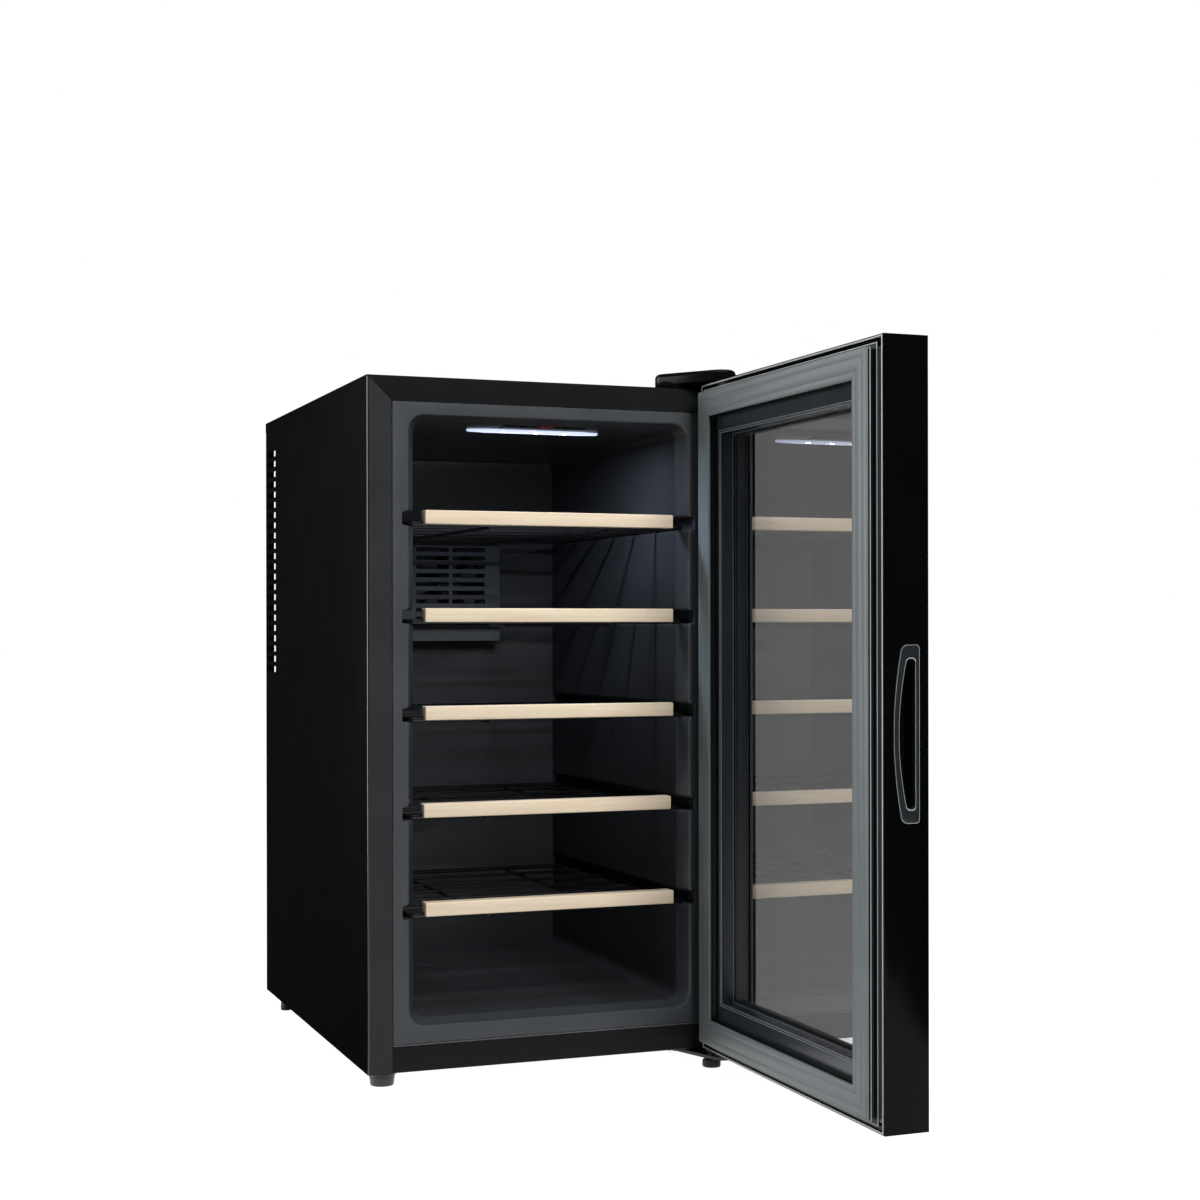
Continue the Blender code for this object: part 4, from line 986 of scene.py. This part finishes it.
def feet():
    """Three plain rubber feet, and the knurled front right one under the hinge."""
    plain_foot("front_left_foot", "front_left_leveller", 0.0040)
    plain_foot("rear_left_foot", "cabinet", 0.0030)
    plain_foot("rear_right_foot", "cabinet", 0.0030)
    grip, shallow = 0.0009, 0.0006
    profile = [(0, 0.0005, 0), (0.0060, 0.0005, 0), (0.0064, 0, 0), (0.0078, 0, 0)]
    profile += [(0.0084, 0.0006, shallow), (0.0085, 0.0020, grip)]
    profile += [(0.0085, 0.0052, grip), (0.0082, 0.0062, shallow)]
    profile += [(0.0076, 0.0068, 0), (0.0028, 0.0069, 0), (0.0028, 0.0118, 0), (0, 0.0120, 0)]
    foot("front_right_foot", "front_right_leveller", profile, segments=96)


# ================================================================ CAD nodes that stay
KEPT = {
    "galvanised": ["base_panel", "back_plate"],
    "painted_steel": ["rear_cover"],
    "foam": ["foam_insulation"],
    "liner": ["inner_fan_cover"],
    "black_plastic": [
        "light_housing", "inner_fan_frame", "inner_fan_rotor", "outer_fan_frame", "outer_fan_rotor",
        "power_inlet"],
    "board": ["led_board", "power_board"],
    "cover_plastic": ["control_panel"],
    "aluminium": ["cold_heat_sink", "cold_block", "hot_heat_sink"],
    "ceramic": ["peltier_module"],
    "hinge_steel": ["top_hinge_bracket", "bottom_hinge_bracket"],
    "screw": ["top_hinge_pin", "bottom_hinge_pin"] + [name for name in NODES if "screw" in name],
    "brass": ["top_hinge_bush", "bottom_hinge_bush"],
    "dark_glass": ["door_outer_pane"],
}
ROUNDED = {
    0.0002: ["hot_heat_sink", "cold_heat_sink"],
    0.0003: ["base_panel", "door_outer_pane"],
    0.0004: ["light_housing"],
    0.0005: ["bottom_hinge_bracket", "top_hinge_bracket", "outer_fan_frame", "inner_fan_frame"],
    0.0006: ["rear_cover", "power_inlet"],
    0.0008: ["inner_fan_cover", "control_panel"],
}


def dress_nodes():
    """Materials and rounded edges for the CAD nodes that are seen as they are."""
    for look, names in KEPT.items():
        for name in names:
            NODES[name].data.materials.clear()
            NODES[name].data.materials.append(MATERIALS[look])
    for width, names in ROUNDED.items():
        for name in names:
            weld = NODES[name].modifiers.new("Weld", "WELD")
            weld.merge_threshold = 0.00001
            round_edges(NODES[name], width, 2, 35)


# ================================================================ stage
def by_ray(nodes, seen, lit, rays=("Is Camera Ray", "Is Transmission Ray")):
    """One closure for the rays that see it and another for the rays that only light the object."""
    path = nodes.nodes.new("ShaderNodeLightPath")
    either = add(nodes, "ShaderNodeMath", operation="MAXIMUM")
    either.inputs[1].default_value = 0.0
    for index, ray in enumerate(rays):
        nodes.links.new(path.outputs[ray], either.inputs[index])
    mix = nodes.nodes.new("ShaderNodeMixShader")
    nodes.links.new(either.outputs[0], mix.inputs[0])
    nodes.links.new(lit, mix.inputs[1])
    nodes.links.new(seen, mix.inputs[2])
    return mix.outputs[0]


def floor_finish(name, seen_glow, base, mirrored_glow):
    """Pale floor. It glows a little, so that only the contact shadows show on it."""
    made, nodes, shader = tree(name)
    shader.inputs["Roughness"].default_value = 0.7
    shader.inputs["Specular IOR Level"].default_value = 0.0
    shader.inputs["Emission Color"].default_value = (1, 1, 1, 1)
    shader.inputs["Emission Strength"].default_value = seen_glow
    cloud = noise(nodes, 3.0)
    tint = ramp(nodes, cloud.outputs["Fac"], [(0.3, (base,) * 3), (0.7, (base * 1.03,) * 3)])
    nodes.links.new(tint.outputs["Color"], shader.inputs["Base Color"])
    glow = add(nodes, "ShaderNodeEmission", Strength=mirrored_glow)
    plain = add(nodes, "ShaderNodeBsdfDiffuse", Color=(base, base, base, 1))
    lit = by_ray(nodes, glow.outputs[0], plain.outputs[0], ["Is Glossy Ray"])
    mixed = by_ray(nodes, shader.outputs["BSDF"], lit)
    nodes.links.new(mixed, nodes.nodes["Material Output"].inputs["Surface"])
    return made


def sheet(name, lo, hi, z, look, glossy):
    """A level rectangle of the stage."""
    mesh = bpy.data.meshes.new(name)
    corners = [(lo[0], lo[1], z), (hi[0], lo[1], z), (hi[0], hi[1], z), (lo[0], hi[1], z)]
    mesh.from_pydata(corners, [], [(0, 1, 2, 3)])
    mesh.materials.append(look)
    made = bpy.data.objects.new(name, mesh)
    bpy.context.scene.collection.objects.link(made)
    made.visible_glossy = glossy


def stage():
    """White all round, a dark room for reflections, and a bright floor in front that the glass mirrors."""
    sheet("floor_far", (-30, -30), (30, 30), -0.0008, floor_finish("pale_floor", 0.97, 0.24, 0.35), False)
    front = floor_finish("bright_floor", 0.97, 0.24, 1.4)
    sheet("floor_near", (-1.6, -1.7), (DOOR_LO.x + 0.30, 0.0), -0.0004, front, True)

    world = bpy.data.worlds.new("studio")
    bpy.context.scene.world = world
    world.use_nodes = True
    nodes = world.node_tree
    seen = nodes.nodes["Background"]
    seen.inputs["Color"].default_value = (1, 1, 1, 1)
    soft = nodes.nodes.new("ShaderNodeBackground")
    soft.inputs["Color"].default_value = (0.15, 0.15, 0.16, 1)
    room = nodes.nodes.new("ShaderNodeBackground")
    room.inputs["Color"].default_value = (0.025, 0.025, 0.027, 1)
    hidden = by_ray(nodes, room.outputs[0], soft.outputs[0], ["Is Glossy Ray"])
    mixed = by_ray(nodes, seen.outputs[0], hidden)
    nodes.links.new(mixed, nodes.nodes["World Output"].inputs["Surface"])


def softbox(name, place, target, size, power, colour=(1, 1, 1), glossy=True):
    """A rectangular lamp that looks at a target."""
    data = bpy.data.lights.new(name, "AREA")
    data.shape = "RECTANGLE"
    data.size, data.size_y = size
    data.energy = power
    data.color = colour
    made = bpy.data.objects.new(name, data)
    made.location = place
    made.rotation_euler = (Vector(target) - Vector(place)).to_track_quat("-Z", "Y").to_euler()
    bpy.context.scene.collection.objects.link(made)
    made.visible_glossy = glossy
    made.visible_transmission = False
    return made


def lights():
    """A key in front, a wall of light at the left, a sheet overhead and the cooler's own lamp."""
    softbox("front_key", (0.25, -2.2, 1.7), (0, 0, 0.32), (0.7, 0.7), 56, glossy=False)
    softbox("left_wall", (-2.2, 0.9, 0.8), (0.0, -0.1, 0.35), (2.4, 1.8), 68)
    softbox("overhead", (0.1, -0.5, 3.2), (0, 0, 0), (3.0, 3.0), 50)
    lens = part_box("light_lens")
    middle = (lens[0] + lens[1]) / 2
    below = middle - Vector((0, 0, 0.006))
    lamp = softbox("ceiling_lamp", below, below - Vector((0, 0, 1)), (0.11, 0.02), 0.60, (0.66, 0.78, 1.0))
    lamp.visible_camera = False
    lamp.visible_glossy = False


def camera():
    """A level camera with its lens shifted, placed from the cabinet."""
    data = bpy.data.cameras.new("camera")
    data.lens = CAMERA_LENS
    data.sensor_width = 36.0
    data.shift_y = CAMERA_SHIFT
    data.clip_end = 100
    made = bpy.data.objects.new("camera", data)
    made.location = cab(CAMERA_X, CAMERA_Y, CAMERA_Z)
    made.rotation_euler = [math.radians(turn) for turn in (90, CAMERA_ROLL, CAMERA_YAW)]
    bpy.context.scene.collection.objects.link(made)
    bpy.context.scene.camera = made
    bpy.context.scene.view_settings.view_transform = "Standard"


camera()
stage()
lights()
dress_nodes()
folded_panel("left_side_panel", -1)
folded_panel("right_side_panel", 1)
lid()
bottom_rail()
liner()
for number in range(1, SHELVES + 1):
    shelf(number)
ceiling_light()
shell = door_shell()
door_bead()
inner_surround()
gasket()
inner_glass()
spacer()
cut_for_handle(shell, handle())
hinge_cap()
feet()
